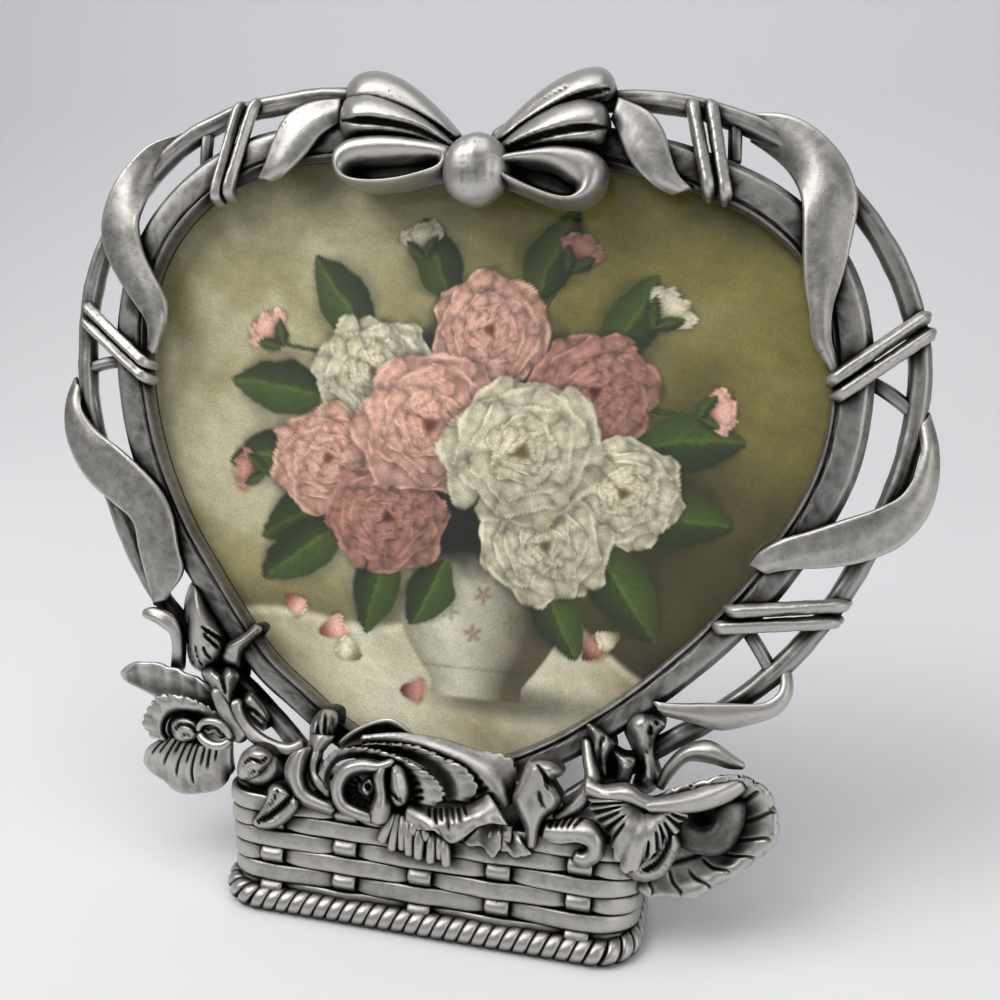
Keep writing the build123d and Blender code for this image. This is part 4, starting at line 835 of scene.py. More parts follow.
ROSE_SKIRTS = [
    [
        [(8.0, 17.0, 9.0), (9.6, 17.4, 9.4), (11.6, 17.0, 9.2)],
        [(6.2, 14.8, 11.0), (8.9, 14.4, 10.2), (11.6, 15, 11.2)],
        [(4.4, 12.4, 10.6), (6.6, 12.0, 11.4), (8.6, 12.2, 10.6), (10.1, 10.3, 11.6), (11.8, 12.8, 11.0)]],
    [
        [(11.4, 16.8, 8.8), (13, 16.6, 9.2), (14.8, 15.8, 8.8)],
        [(11.4, 14.2, 10.8), (13.4, 13.8, 9.9), (15.8, 14.0, 10.6)],
        [(11.2, 12.0, 10.6), (12.6, 12.0, 11.2), (14.6, 11.2, 10.8), (17.6, 12.4, 10.6)]]]
FRINGE_BACK = [(-10.6, 11.4), (-9.6, 14.6), (-6, 16.2), (0, 15), (2.6, 13), (2.0, 9.4), (-1, 9.0),
               (-5, 9.3), (-9.4, 10.2)]
FRINGE = [((-8.2, 16.6), (-10.4, 10.4), 1.0), ((-7.4, 16.6), (-8.4, 9.2), 0.9),
          ((-6.6, 16.4), (-6.3, 9.6), 0.95), ((-5.7, 16.2), (-4.9, 8.8), 1.0),
          ((-4.6, 15.6), (-4.4, 12.6), 0.9), ((-3.4, 15.2), (-3.2, 8.4), 1.05),
          ((-2.4, 14.8), (-1.9, 12.0), 0.85), ((-1.0, 14.2), (-1.0, 8.0), 0.95),
          ((0.4, 13.8), (0.8, 9.0), 0.85), ((1.2, 13.6), (2.0, 7.8), 0.9)]
FRINGE_TOP_LEVEL = 10.2
FRINGE_END_LEVEL = 10.9
FRINGE_CROWN = 0.85
TALL_LEAF = [(14.8, 26.4), (15.4, 28.2), (17.4, 29.1), (20.2, 29.0), (21.9, 27.2), (20.2, 25.6), (21.8, 23),
             (21.2, 20.7), (19.4, 19.0), (18.7, 16.8), (18.1, 13.4), (16.0, 13.0), (15.3, 16.8),
             (13.7, 19.7), (13.0, 21.8), (14.0, 24.5)]
TALL_LEAF_CUTS = [
    ([(21.8, 25.4), (19.6, 25.6), (18.6, 26.6)], 0.6, 1.2),
    ([(17.2, 28.2), (18.6, 26.6), (19.2, 24)], 0.5, 0.8),
    ([(20.6, 20), (18.6, 21.4), (17.6, 24)], 0.5, 0.5)]
CURLED_LEAF = [((19.0, 18.6, 8.6), (18.6, 15.2, 9.2)), ((23, 19.6, 9.0), (21.8, 14.9, 10.2)),
               ((27.2, 20.0, 9.4), (24.8, 15.6, 11.2)), ((29.6, 17.6, 9.8), (26.6, 15.7, 11.4)),
               ((29.2, 13.8, 10.0), (27.0, 14.8, 11.0)), ((26.6, 11.6, 10.0), (26.0, 13.9, 10.8)),
               ((24.2, 12.4, 9.8), (24.8, 13.9, 10.6))]

# Lily

LILY_TRUMPET = [(26.2, 26.2), (28.8, 26.4), (31, 26.8), (33.4, 26.4), (36.8, 24.8), (40.2, 26.0),
                (43.8, 24.4), (43.2, 22.6), (41.4, 20.6), (38.6, 19.2), (38.2, 15.6), (35.6, 14.2),
                (33.4, 11.4), (32.4, 15.4), (30.2, 18.6), (27.4, 21.2), (25.4, 23.6)]
LILY_FAN = [
    [(34.4, 24.6, 10.4), (35.0, 23.6, 10.6), (35.6, 22.8, 10.8), (36.2, 22.4, 11.0), (36.9, 22.6, 11.0),
     (37.6, 23.2, 10.8), (38.2, 24.2, 10.4)],
    [(30.2, 25.0, 11.4), (31.0, 22.6, 11.6), (33.0, 19.6, 12.2), (35.0, 17.6, 12.8), (37.0, 18.4, 12.6),
     (39.2, 20.8, 12.0), (41.0, 23.6, 11.0)],
    [(25.6, 25.4, 9.6), (26.6, 21.6, 9.6), (30.2, 17.6, 10.4), (33.2, 11.4, 11.4), (38.2, 15.4, 11.2),
     (41.4, 19.6, 10.4), (44.0, 23.4, 9.6)]]
LILY_PLEATS = [(0.05, 0.35, 1.0), (0.1, 0.3, 0.98), (0.15, 0.4, 1.0), (0.2, 0.45, 0.96), (0.26, 0.4, 0.98),
               (0.33, 0.5, 0.92), (0.64, 0.6, 0.9), (0.72, 0.5, 1.0), (0.78, 0.45, 1.0), (0.84, 0.5, 1.0),
               (0.9, 0.45, 1.0), (0.95, 0.5, 1.0)]
LILY_BROW = [
    [(25.8, 27.4, 8.6), (28.6, 26.0, 9.0), (32.6, 26.9, 9.2), (35.2, 25.6, 9.6), (37.6, 25.0, 9.8)],
    [(25.6, 25.8, 10.4), (29.2, 24.9, 11.2), (32.8, 25.5, 12.0), (35.6, 24.4, 12.0), (37.8, 23.8, 11.6)],
    [(25.8, 24.2, 9.8), (29.8, 23.8, 10.8), (33.0, 23.9, 11.4), (36.0, 23.2, 11.4), (38.0, 22.8, 11.0)]]
LILY_ARM = [
    [(24.8, 33.8, 3.4), (25.2, 30, 5.0), (25.6, 26.8, 7.0), (23.6, 23.0, 7.6), (20.4, 19.6, 7.8)],
    [(25.6, 33.8, 4.6), (26.2, 30, 6.4), (26.8, 26.4, 8.6), (24.6, 22.2, 9.2), (20.6, 18.9, 9.0)],
    [(26.2, 33.6, 3.4), (27.2, 30, 5.0), (28.2, 26, 7.2), (25.6, 21.2, 7.8), (20.9, 18.3, 7.8)]]
LILY_OUTER = [
    [(38.6, 24.2, 5.6), (43, 25.6, 4.4), (47.4, 25.6, 3.4), (49.8, 22.6, 3.2), (48.6, 18.6, 3.4),
     (43.6, 15.4, 4.0), (38.4, 13.4, 4.8), (33.0, 13.0, 5.4)],
    [(38.8, 24.8, 6.4), (44, 26.8, 5.4), (49.6, 27.4, 4.2), (53.4, 24.6, 3.8), (52.6, 19.6, 4.2),
     (47.2, 14.2, 4.8), (40.2, 11.0, 5.4), (31.6, 11.6, 5.8)],
    [(39.0, 25.6, 7.6), (45, 28.2, 7.4), (51.8, 30.0, 6.4), (56.2, 26.4, 5.4), (56.2, 20.6, 5.2),
     (50.6, 14.6, 5.6), (42.4, 9.4, 6.0), (31.2, 10.0, 6.2)],
    [(39.2, 26.4, 7.2), (45.2, 29.2, 7.2), (52.2, 30.9, 6.0), (57.4, 26.4, 4.8), (57.2, 20.0, 4.4),
     (51.2, 13.6, 4.8), (42.8, 8.6, 5.4), (31.0, 9.2, 5.8)]]
LILY_VEINS = [(0.3, 0.15, 0.7), (0.38, 0.2, 0.8), (0.46, 0.1, 0.75), (0.54, 0.2, 0.85), (0.62, 0.1, 0.7),
              (0.7, 0.2, 0.85), (0.78, 0.1, 0.75), (0.87, 0.2, 0.8)]
LILY_LIP = [
    [(35.2, 24.4, 10.2), (39.4, 25.6, 9.8), (43.4, 27.2, 8.4), (47.2, 29.0, 7.0), (51.2, 30.6, 5.6)],
    [(35.8, 23.4, 12.2), (40.0, 24.2, 11.6), (44.2, 25.4, 10.2), (48.6, 27.6, 8.4), (51.8, 29.8, 6.2)],
    [(37.0, 22.8, 11.2), (41.2, 23.2, 10.6), (45.6, 24.0, 9.0), (50.0, 26.4, 7.0), (52.6, 28.8, 5.4)]]
LILY_FLOOR = [(37, 24), (43, 26.4), (48.6, 26.6), (51.4, 22.6), (50, 18), (44, 14.4), (38, 12.4),
              (33.6, 12.2), (33.6, 20)]
LILY_CURL = [
    [(43.4, 24.0, 5.2), (44.0, 22.2, 5.0), (45.3, 21.2, 4.8), (46.7, 21.6, 4.8), (47.2, 23, 4.6),
     (47.0, 25.4, 4.4)],
    [(42.6, 23.6, 8.4), (43.2, 21.5, 9.0), (45.3, 20.3, 9.2), (47.3, 21.0, 8.6), (48.0, 22.8, 7.6),
     (47.8, 25.8, 6.4)],
    [(41.6, 22.4, 9.4), (42.2, 19.8, 10.0), (45.2, 18.6, 10.2), (48.2, 19.4, 9.2), (49.3, 22.4, 7.8),
     (49.2, 26.4, 6.4)],
    [(41.0, 21.6, 8.0), (41.6, 18.8, 8.6), (45.4, 17.5, 8.6), (49.2, 18.5, 7.4), (50.9, 22.2, 6.2),
     (51.2, 26.8, 5.2)],
    [(41.0, 20.8, 5.4), (41.8, 18.2, 5.4), (45.6, 17.0, 5.4), (49.8, 17.8, 4.8), (52.2, 22.0, 4.2),
     (52.6, 27.2, 4.2)]]
LILY_SMALL = [(33.4, 12.2), (35.4, 14.9), (37.8, 16.4), (38.8, 19.2), (40.6, 20.4), (42.2, 19.6),
              (42.6, 17.4), (41.4, 14.6), (39.9, 12), (37.2, 10.6), (34.8, 10.6)]
LILY_SMALL_CUTS = [
    ([(36.2, 12.2), (38.6, 14), (40.2, 17), (40.6, 19.6)], 0.6, 1.4),
    ([(38.6, 11.4), (40, 13.8), (41.6, 16.4)], 0.5, 0.9)]
LILY_BUD_LEFT = [(25.0, 36.4), (26.6, 36.8), (29.4, 35), (30.6, 33), (30.2, 29.6), (30.8, 27.4), (29, 26.2),
                 (27, 27.6), (25.9, 31), (25.6, 34)]
LILY_BUD_LEFT_CUTS = [([(28.4, 35), (27.8, 31.6), (28.4, 28.2)], 0.6, 1.1)]
LILY_BUD_LEFT_RIDGES = [([(25.4, 36.2), (28.8, 34.8), (30.2, 32.8)], 0.7, 0.7)]
LILY_BUD_MIDDLE = [(30, 32.4), (32, 31.8), (34.2, 31.6), (33.7, 28.6), (32.8, 26.2), (30.8, 26.6),
                   (31.0, 29.4)]
LILY_BUD_MIDDLE_CUTS = [([(30.8, 31.2), (32.2, 30.6), (33.6, 31.0)], 0.5, 1.2)]
LILY_BUD_RIGHT = [(31.6, 36.2), (32, 38.6), (34.4, 40.1), (36.6, 39.4), (38.7, 37.7), (37.4, 35.4),
                  (37.4, 31.6), (38.4, 28), (36.4, 25.6), (33.8, 26.4), (34.2, 30), (33.2, 33)]
LILY_BUD_RIGHT_CUTS = [
    ([(35.8, 37.8), (36.4, 34.8), (35.4, 31.6), (35.6, 28)], 0.6, 1.0),
    ([(37.4, 38.2), (36.2, 37.0), (36.0, 35.6)], 0.5, 1.2)]
LILY_LEAF = [
    [(38.6, 26.6, 2.6), (40.4, 29.6, 2.6), (42.8, 32.2, 2.8), (46.6, 32.2, 3.4), (49.4, 31.8, 4.0),
     (51.9, 32.2, 4.2)],
    [(38.2, 26.8, 4.0), (39.9, 30.4, 4.2), (42.6, 33.4, 4.4), (46.4, 34.0, 5.0), (49.6, 33.0, 5.0),
     (52.0, 32.3, 4.6)],
    [(37.7, 27.0, 2.6), (39.2, 31.0, 2.6), (42.3, 34.7, 2.8), (46.0, 36.0, 3.2), (49.8, 34.0, 4.0),
     (52.0, 32.5, 4.2)]]

# Finishes

PATINA_BROAD_SCALE = 95.0
PATINA_FINE_SCALE = 620.0
PATINA_SPECK_SCALE = 1500.0
HOLLOW_DARKENING = 2.3
CREST_BRIGHTENING = 0.42
BRUSH_SCALE = (900.0, 900.0, 90.0)
SCRATCH_SCALE = (160.0, 1800.0, 1800.0)
CLOUD_LOW, CLOUD_HIGH = 0.3, 0.7


class NodeWork:
    """A short hand for adding and wiring the nodes of one tree."""

    def __init__(self, tree):
        self.tree = tree

    def set(self, socket, value):
        if isinstance(value, bpy.types.Node):
            value = value.outputs[0]
        if isinstance(value, bpy.types.NodeSocket):
            self.tree.links.new(value, socket)
        else:
            socket.default_value = value

    def add(self, kind, settings=None, **links):
        """A new node. Each link names a socket, with _ for a space, or gives its number after an i."""
        node = self.tree.nodes.new(kind)
        for key, value in (settings or {}).items():
            setattr(node, key, value)
        for key, value in links.items():
            numbered = key[0] == "i" and key[1:].isdigit()
            self.set(node.inputs[int(key[1:]) if numbered else key.replace("_", " ")], value)
        return node

    def math(self, operation, a, b=0.0):
        return self.add("ShaderNodeMath", {"operation": operation}, i0=a, i1=b).outputs[0]

    def sum(self, first, *others):
        for other in others:
            first = self.math("ADD", first, other)
        return first

    def place(self):
        return self.add("ShaderNodeTexCoord").outputs["Object"]

    def stored(self, name, output):
        return self.add("ShaderNodeAttribute", {"attribute_name": name}).outputs[output]

    def noise(self, scale, detail, roughness, place=None):
        return self.add("ShaderNodeTexNoise", Vector=place or self.place(), Scale=scale, Detail=detail,
                        Roughness=roughness).outputs["Fac"]

    def streaks(self, scale, detail, roughness):
        stretched = self.add("ShaderNodeMapping", Vector=self.place(), Scale=scale).outputs[0]
        return self.noise(1.0, detail, roughness, stretched)

    def mapped(self, value, from_low, from_high, to_low=0.0, to_high=1.0):
        return self.add("ShaderNodeMapRange", {"clamp": True}, Value=value, From_Min=from_low,
                        From_Max=from_high, To_Min=to_low, To_Max=to_high).outputs[0]

    def cloud(self, value, to_low, to_high):
        return self.mapped(value, CLOUD_LOW, CLOUD_HIGH, to_low, to_high)

    def mix(self, share, a, b):
        a, b = ((*colour, 1) if isinstance(colour, tuple) else colour for colour in (a, b))
        return self.add("ShaderNodeMix", {"data_type": "RGBA"}, i0=share, i6=a, i7=b).outputs[2]


def patina_group():
    """Darkened hollows, brushed crests, and the specks and scratches of an aged casting."""
    group = bpy.data.node_groups.new("cast_patina", "ShaderNodeTree")
    for label, kind in (("Bright", "Color"), ("Middle", "Color"), ("Dark", "Color"), ("Reach", "Float"),
                        ("Grime", "Float")):
        group.interface.new_socket(label, in_out="INPUT", socket_type="NodeSocket" + kind)
    for label, kind in (("Color", "Color"), ("Roughness", "Float"), ("Height", "Float")):
        group.interface.new_socket(label, in_out="OUTPUT", socket_type="NodeSocket" + kind)
    work = NodeWork(group)
    given, out = work.add("NodeGroupInput").outputs, work.add("NodeGroupOutput").inputs
    openness = work.add("ShaderNodeAmbientOcclusion", {"samples": 12}, Distance=given["Reach"])
    open_share = openness.outputs["AO"]
    broad = work.noise(PATINA_BROAD_SCALE, 4.0, 0.6)
    fine = work.noise(PATINA_FINE_SCALE, 3.0, 0.65)
    specks = work.noise(PATINA_SPECK_SCALE, 2.0, 0.6)
    hollow = work.math("MULTIPLY", work.math("SUBTRACT", 1.0, open_share), given["Grime"])
    level = work.sum(work.math("SUBTRACT", 1.0, work.math("MULTIPLY", hollow, HOLLOW_DARKENING)),
                     work.math("MULTIPLY", work.stored("worn", "Fac"), CREST_BRIGHTENING),
                     work.cloud(broad, -0.12, 0.1), work.cloud(fine, -0.12, 0.1))
    colour = work.mix(work.mapped(level, 0.2, 0.68), given["Dark"], given["Middle"])
    colour = work.mix(work.mapped(level, 0.74, 1.24), colour, given["Bright"])
    pit = work.mapped(specks, 0.68, 0.76)
    work.set(out["Color"], work.mix(work.math("MULTIPLY", pit, 0.55), colour, given["Dark"]))
    work.set(out["Roughness"],
             work.sum(work.mapped(level, 0.2, 1.2, 0.66, 0.4), work.cloud(fine, -0.05, 0.06)))
    brushed = work.streaks(BRUSH_SCALE, 2.0, 0.5)
    height = work.sum(work.math("MULTIPLY", fine, 0.7), work.math("MULTIPLY", brushed, 0.25))
    work.set(out["Height"], work.math("SUBTRACT", height, work.math("MULTIPLY", pit, 0.8)))
    return group


def new_material(name, **constants):
    material = bpy.data.materials.new(name)
    material.use_nodes = True
    work = NodeWork(material.node_tree)
    surface = material.node_tree.nodes["Principled BSDF"].inputs
    for key, value in constants.items():
        work.set(surface[key.replace("_", " ")], value)
    return material, work, surface


def add_bump(work, surface, height, strength, distance):
    bump = work.add("ShaderNodeBump", Height=height, Strength=strength, Distance=distance)
    work.set(surface["Normal"], bump)


def cast_pewter(name, bright, middle, dark, reach, grime):
    material, work, surface = new_material(name, Metallic=1.0)
    patina = work.add("ShaderNodeGroup", {"node_tree": cast_patina}, Bright=(*bright, 1),
                      Middle=(*middle, 1), Dark=(*dark, 1), Reach=reach, Grime=grime).outputs
    work.set(surface["Base Color"], patina["Color"])
    work.set(surface["Roughness"], patina["Roughness"])
    add_bump(work, surface, patina["Height"], 0.5, 0.00018)
    return material


def paper_finish():
    material, work, surface = new_material("printed_paper", Roughness=0.42, Specular_IOR_Level=0.35)
    tone = work.sum(work.cloud(work.noise(3200.0, 2.0, 0.6), 0.8, 1.16),
                    work.cloud(work.noise(420.0, 4.0, 0.6), -0.08, 0.08))
    toned = work.add("ShaderNodeVectorMath", {"operation": "SCALE"}, i0=work.stored("painting", "Color"),
                     Scale=tone)
    work.set(surface["Base Color"], toned)
    return material


def velvet_finish(pile, deep):
    material, work, surface = new_material("black_velvet", Roughness=0.85, Sheen_Weight=0.6,
                                           Sheen_Roughness=0.4)
    nap = work.noise(2400.0, 3.0, 0.7)
    brushed = work.math("MULTIPLY", work.noise(60.0, 3.0, 0.6), 0.5)
    share = work.sum(work.math("MULTIPLY", nap, 0.6), brushed)
    work.set(surface["Base Color"], work.mix(work.mapped(share, 0.35, 0.75), deep, pile))
    add_bump(work, surface, nap, 0.6, 0.0003)
    return material


def plated_metal(colour, roughness):
    material, work, surface = new_material("satin_nickel", Metallic=1.0, Base_Color=(*colour, 1))
    scratch = work.streaks(SCRATCH_SCALE, 3.0, 0.6)
    work.set(surface["Roughness"], work.cloud(scratch, roughness - 0.06, roughness + 0.08))
    add_bump(work, surface, scratch, 0.2, 0.00005)
    return material


def card_finish(dark, light):
    material, work, surface = new_material("grey_card", Roughness=0.8)
    work.set(surface["Base Color"], work.mix(work.noise(700.0, 5.0, 0.7), dark, light))
    return material


cast_patina = patina_group()
pewter = cast_pewter("antique_pewter", bright=(0.53, 0.51, 0.48), middle=(0.135, 0.129, 0.12),
                     dark=(0.013, 0.012, 0.011), reach=0.0028, grime=1.0)
# A darker copy of the same pewter for the rim, vines and twigs: painted shade.
shade_painted_pewter = cast_pewter("shadowed_pewter", bright=(0.4, 0.385, 0.365), middle=(0.1, 0.095, 0.088),
                          dark=(0.011, 0.01, 0.009), reach=0.0036, grime=1.1)
printed_paper = paper_finish()
velvet = velvet_finish(pile=(0.030, 0.028, 0.030), deep=(0.010, 0.010, 0.011))
satin_nickel = plated_metal((0.60, 0.58, 0.54), 0.34)
grey_card = card_finish(dark=(0.30, 0.28, 0.24), light=(0.44, 0.42, 0.37))
clear_glass = new_material("clear_glass", Transmission_Weight=1.0, Roughness=0.02, IOR=1.45,
                           Base_Color=(0.97, 0.985, 0.975, 1))[0]

# Basket and rope foot, by Geometry Nodes

BASKET_BASE_WIDTH = 68.0
BASKET_TOP_WIDTH = 74.0
BASKET_BASE_FRONT = 7.6
BASKET_TOP_FRONT = 9.0
BASKET_BACK = 6.5
BASKET_HEIGHT = 21.0
BASKET_OVERRUN = 5.0
BASKET_CORNER = 6.0
OUTLINE_STEP = 0.45
WEAVE_START = 5.0
WEAVE_PITCH = 3.05
WEAVE_ROWS = 5
WEAVE_BACK_GAP = 2.6
WEAVE_DROP = 0.2
STRAND_HALF_HEIGHT = 1.5
STRAND_HALF_DEPTH = 0.66
STRAND_SIDES = 18
STRAND_LIFT = 0.62
STRAND_SAG = 0.16
STRAND_SAG_LENGTH = 37
# Where a stake stands in front, behind or at the side: how far the strand moves and over what half length
DIP_IN_FRONT, DIP_LENGTH, DIP_NARROWING = 0.75, 3.0, 0.22
SWELL_BEHIND, SWELL_LENGTH = 0.42, 4.2
SIDE_DIP, SIDE_DIP_LENGTH = 0.7, 1.6
STAKE_NUMBERS = range(-2, 3)
STAKE_PITCH = 13.5
STAKE_HALF_WIDTH = 2.05
STAKE_HALF_DEPTH = 0.6
STAKE_FOOT_RUN = 3.4
STAKE_TOP_RUN = 0.6
STAKE_STEP = 0.35
STAKE_OUT = 0.5
SIDE_STAKE_DEPTH = 1.5
ROPE_RADIUS = 2.2
ROPE_INSET = 0.9
ROPE_LEVEL = 1.9
ROPE_STRANDS = 2
ROPE_LAY = 4.7
ROPE_STEPS = 24
ROPE_OFFSET = 1.12
ROPE_STRAND_RADIUS = 1.08
ROPE_SIDES = 14


def basket_front(level):
    """Half width and front of the basket's wall at one level."""
    share = (level + BASKET_OVERRUN) / (BASKET_HEIGHT + BASKET_OVERRUN)
    half = (BASKET_BASE_WIDTH + (BASKET_TOP_WIDTH - BASKET_BASE_WIDTH) * share) / 2
    return half, BASKET_BASE_FRONT + (BASKET_TOP_FRONT - BASKET_BASE_FRONT) * share


def around_basket(half, front, back):
    """The line round the left side, the front and the right side: points with their outward direction."""
    line, outs = [], []
    shoulder, edge = half - BASKET_CORNER, front - BASKET_CORNER

    def run(a, b, out):
        count = max(int(math.dist(a, b) / OUTLINE_STEP), 2)
        for k in range(count):
            line.append(np.array(a) + (np.array(b) - a) * (k / count))
            outs.append(out)

    def turn(x, start, end):
        count = int(abs(end - start) * BASKET_CORNER / OUTLINE_STEP)
        for k in range(count):
            angle = start + (end - start) * k / count
            outs.append((math.cos(angle), math.sin(angle)))
            line.append((x + outs[-1][0] * BASKET_CORNER, edge + outs[-1][1] * BASKET_CORNER))

    run((-half, back), (-half, edge), (-1, 0))
    turn(-shoulder, math.pi, math.pi / 2)
    run((-shoulder, front), (shoulder, front), (0, 1))
    turn(shoulder, math.pi / 2, 0)
    run((half, edge), (half, back), (1, 0))
    return np.array([*line, (half, back)]), np.array([*outs, (1, 0)], float)


def strand_path(row):
    """One row of the weave. It lies back where a stake passes in front, and swells over the ones behind."""
    level = WEAVE_START + (row + 0.5) * WEAVE_PITCH - WEAVE_DROP
    flat, outs = around_basket(*basket_front(level), WEAVE_BACK_GAP - BASKET_BACK)
    x, on_front = flat[:, 0], outs[:, 1] > 0.3
    lift, narrow = np.full(len(flat), STRAND_LIFT), np.ones(len(flat))
    for number in STAKE_NUMBERS:
        away = x - number * STAKE_PITCH
        if (number + row) % 2:
            dip = np.exp(-(away / DIP_LENGTH) ** 2) * on_front
            lift -= DIP_IN_FRONT * dip
            narrow -= DIP_NARROWING * dip
        else:
            lift += SWELL_BEHIND * np.exp(-(away / SWELL_LENGTH) ** 2) * on_front
    at_side = np.exp(-((flat[:, 1] - SIDE_STAKE_DEPTH) / SIDE_DIP_LENGTH) ** 2) * (np.abs(outs[:, 0]) > 0.9)
    flat = flat + outs * (lift - SIDE_DIP * at_side * (row % 2))[:, None]
    sag = STRAND_SAG * ripple(x / STRAND_SAG_LENGTH + row * 0.7, row + 3)
    points = np.column_stack([flat[:, 0], level + sag, flat[:, 1]])
    return points, np.column_stack([outs[:, 0], np.zeros(len(outs)), outs[:, 1]]), narrow


def stake_path(number):
    """One upright stake, which waves in front of and behind the rows."""
    levels = np.arange(WEAVE_START - STAKE_FOOT_RUN, WEAVE_START + WEAVE_ROWS * WEAVE_PITCH + STAKE_TOP_RUN,
                       STAKE_STEP)
    wave = np.cos(math.pi * ((levels - WEAVE_START) / WEAVE_PITCH + 0.5 + number))
    points = np.column_stack([np.full(len(levels), number * STAKE_PITCH), levels,
                              basket_front(levels)[1] + STAKE_OUT + wave])
    return points, np.tile((0.0, 0.0, 1.0), (len(points), 1)), np.ones(len(points))


def rope_line():
    """The rope's line on the floor round the basket, in the leaning frame, as points of the upright one."""
    half = BASKET_BASE_WIDTH / 2 + ROPE_RADIUS - ROPE_INSET
    front = (BASKET_BASE_FRONT + ROPE_RADIUS - ROPE_INSET) * LEAN_COS - FOOT_SHIFT
    flat, outs = around_basket(half, front, -(FOOT_SHIFT + BASKET_BACK * LEAN_COS))
    y, height = -flat[:, 1] - FOOT_SHIFT, ROPE_LEVEL + FOOT_DROP
    points = np.column_stack([flat[:, 0], y * LEAN_SIN + height * LEAN_COS,
                              -y * LEAN_COS + height * LEAN_SIN])
    return points, np.column_stack([outs[:, 0], -outs[:, 1] * LEAN_SIN, outs[:, 1] * LEAN_COS])


def rope_strand(number):
    """One strand of the rope, wound round the rope's line."""
    line, outs = rope_line()
    run = lengths_along(line)
    at = np.arange(0, run[-1], ROPE_LAY / ROPE_STEPS)
    line, outs = read_at(at, run, line), unit(read_at(at, run, outs))
    up = unit(np.cross(outs, unit(np.gradient(line, axis=0))))
    up *= np.sign(up[:, 1:2])
    angle = (at[:, None] / ROPE_LAY + number / ROPE_STRANDS) * 2 * math.pi
    radial = outs * np.cos(angle) + up * np.sin(angle)
    return line + radial * ROPE_OFFSET, radial, np.ones(len(line))


def path_object(name, runs):
    """Mesh edges for the node tree to sweep: each run has points, outward directions and a size share."""
    points, edges, outs, sizes = [], [], [], []
    for run_points, run_outs, run_sizes in runs:
        edges += [(len(points) + k, len(points) + k + 1) for k in range(len(run_points) - 1)]
        places = world(run_points)
        points += [tuple(p) for p in places]
        outs += list(unit(world(run_points + run_outs) - places))
        sizes += list(run_sizes)
    mesh = bpy.data.meshes.new(name)
    mesh.from_pydata(points, edges, [])
    for label, kind, field, values in (("outward", "FLOAT_VECTOR", "vector", outs),
                                       ("size", "FLOAT", "value", sizes)):
        stored = mesh.attributes.new(label, kind, "POINT")
        stored.data.foreach_set(field, np.array(values, np.float32).ravel())
    return linked(name, mesh)


def strand_group():
    """Sweeps a flattened strand along each run, its wide side held to the outward direction."""
    group = bpy.data.node_groups.new("woven_strand", "GeometryNodeTree")
    group.interface.new_socket("Geometry", in_out="INPUT", socket_type="NodeSocketGeometry")
    ids = {}
    for label, kind in (("Half Height", "Float"), ("Half Depth", "Float"), ("Sides", "Int"),
                        ("Metal", "Material")):
        socket = group.interface.new_socket(label, in_out="INPUT", socket_type="NodeSocket" + kind)
        ids[label] = socket.identifier
    group.interface.new_socket("Geometry", in_out="OUTPUT", socket_type="NodeSocketGeometry")
    work = NodeWork(group)
    given = work.add("NodeGroupInput").outputs

    def stored(name, kind):
        return work.add("GeometryNodeInputNamedAttribute", {"data_type": kind}, Name=name)

    def squared_off(value, power, size):
        """Pushes a coordinate of the round ring outwards, and gives it its size."""
        bulge = work.math("POWER", work.math("ABSOLUTE", value), power)
        return work.math("MULTIPLY", work.math("MULTIPLY", bulge, work.math("SIGN", value)), size)

    curve = work.add("GeometryNodeMeshToCurve", Mesh=given["Geometry"])
    turned = work.add("GeometryNodeSetCurveNormal", {"mode": "FREE"}, Curve=curve,
                      Normal=stored("outward", "FLOAT_VECTOR"))
    ring = work.add("GeometryNodeCurvePrimitiveCircle", Resolution=given["Sides"], Radius=1.0)
    place = work.add("ShaderNodeSeparateXYZ", Vector=work.add("GeometryNodeInputPosition")).outputs
    section = work.add("GeometryNodeSetPosition", Geometry=ring, Position=work.add(
        "ShaderNodeCombineXYZ", X=squared_off(place[0], 0.42, given["Half Depth"]),
        Y=squared_off(place[1], 0.85, given["Half Height"])))
    strand = work.add("GeometryNodeCurveToMesh", Curve=turned, Profile_Curve=section, Fill_Caps=True,
                      Scale=stored("size", "FLOAT"))
    metal = work.add("GeometryNodeSetMaterial", Material=given["Metal"],
                     Geometry=work.add("GeometryNodeRealizeInstances", Geometry=strand))
    work.add("NodeGroupOutput", Geometry=metal)
    return group, ids


def woven_piece(name, node, runs, half_height, half_depth, sides=STRAND_SIDES):
    """Sweeps a strand along each run, and puts the plain mesh in place of a node of the CAD frame."""
    path = path_object(name, runs)
    modifier = path.modifiers.new("woven_strand", "NODES")
    modifier.node_group, ids = strand_tree
    for label, value in (("Half Height", half_height * MILLI), ("Half Depth", half_depth * MILLI),
                         ("Sides", sides), ("Metal", pewter)):
        modifier[ids[label]] = value
    graph = bpy.context.evaluated_depsgraph_get()
    graph.update()
    mesh = bpy.data.meshes.new_from_object(path.evaluated_get(graph), depsgraph=graph)
    bpy.data.objects.remove(path)
    close_up(mesh, weld=True)
    finish_cast(linked(name, mesh), node)


def build_basket():
    woven_piece("woven_rows", "basket_weave", [strand_path(row) for row in range(-1, WEAVE_ROWS)],
                STRAND_HALF_HEIGHT, STRAND_HALF_DEPTH)
    woven_piece("basket_stakes_bent", "basket_stakes", [stake_path(number) for number in STAKE_NUMBERS],
                STAKE_HALF_WIDTH, STAKE_HALF_DEPTH)
    woven_piece("rope_strands", "rope_foot", [rope_strand(number) for number in range(ROPE_STRANDS)],
                ROPE_STRAND_RADIUS, ROPE_STRAND_RADIUS, ROPE_SIDES)


strand_tree = strand_group()

# The print: a flower piece in sepia, painted onto the print's own vertices

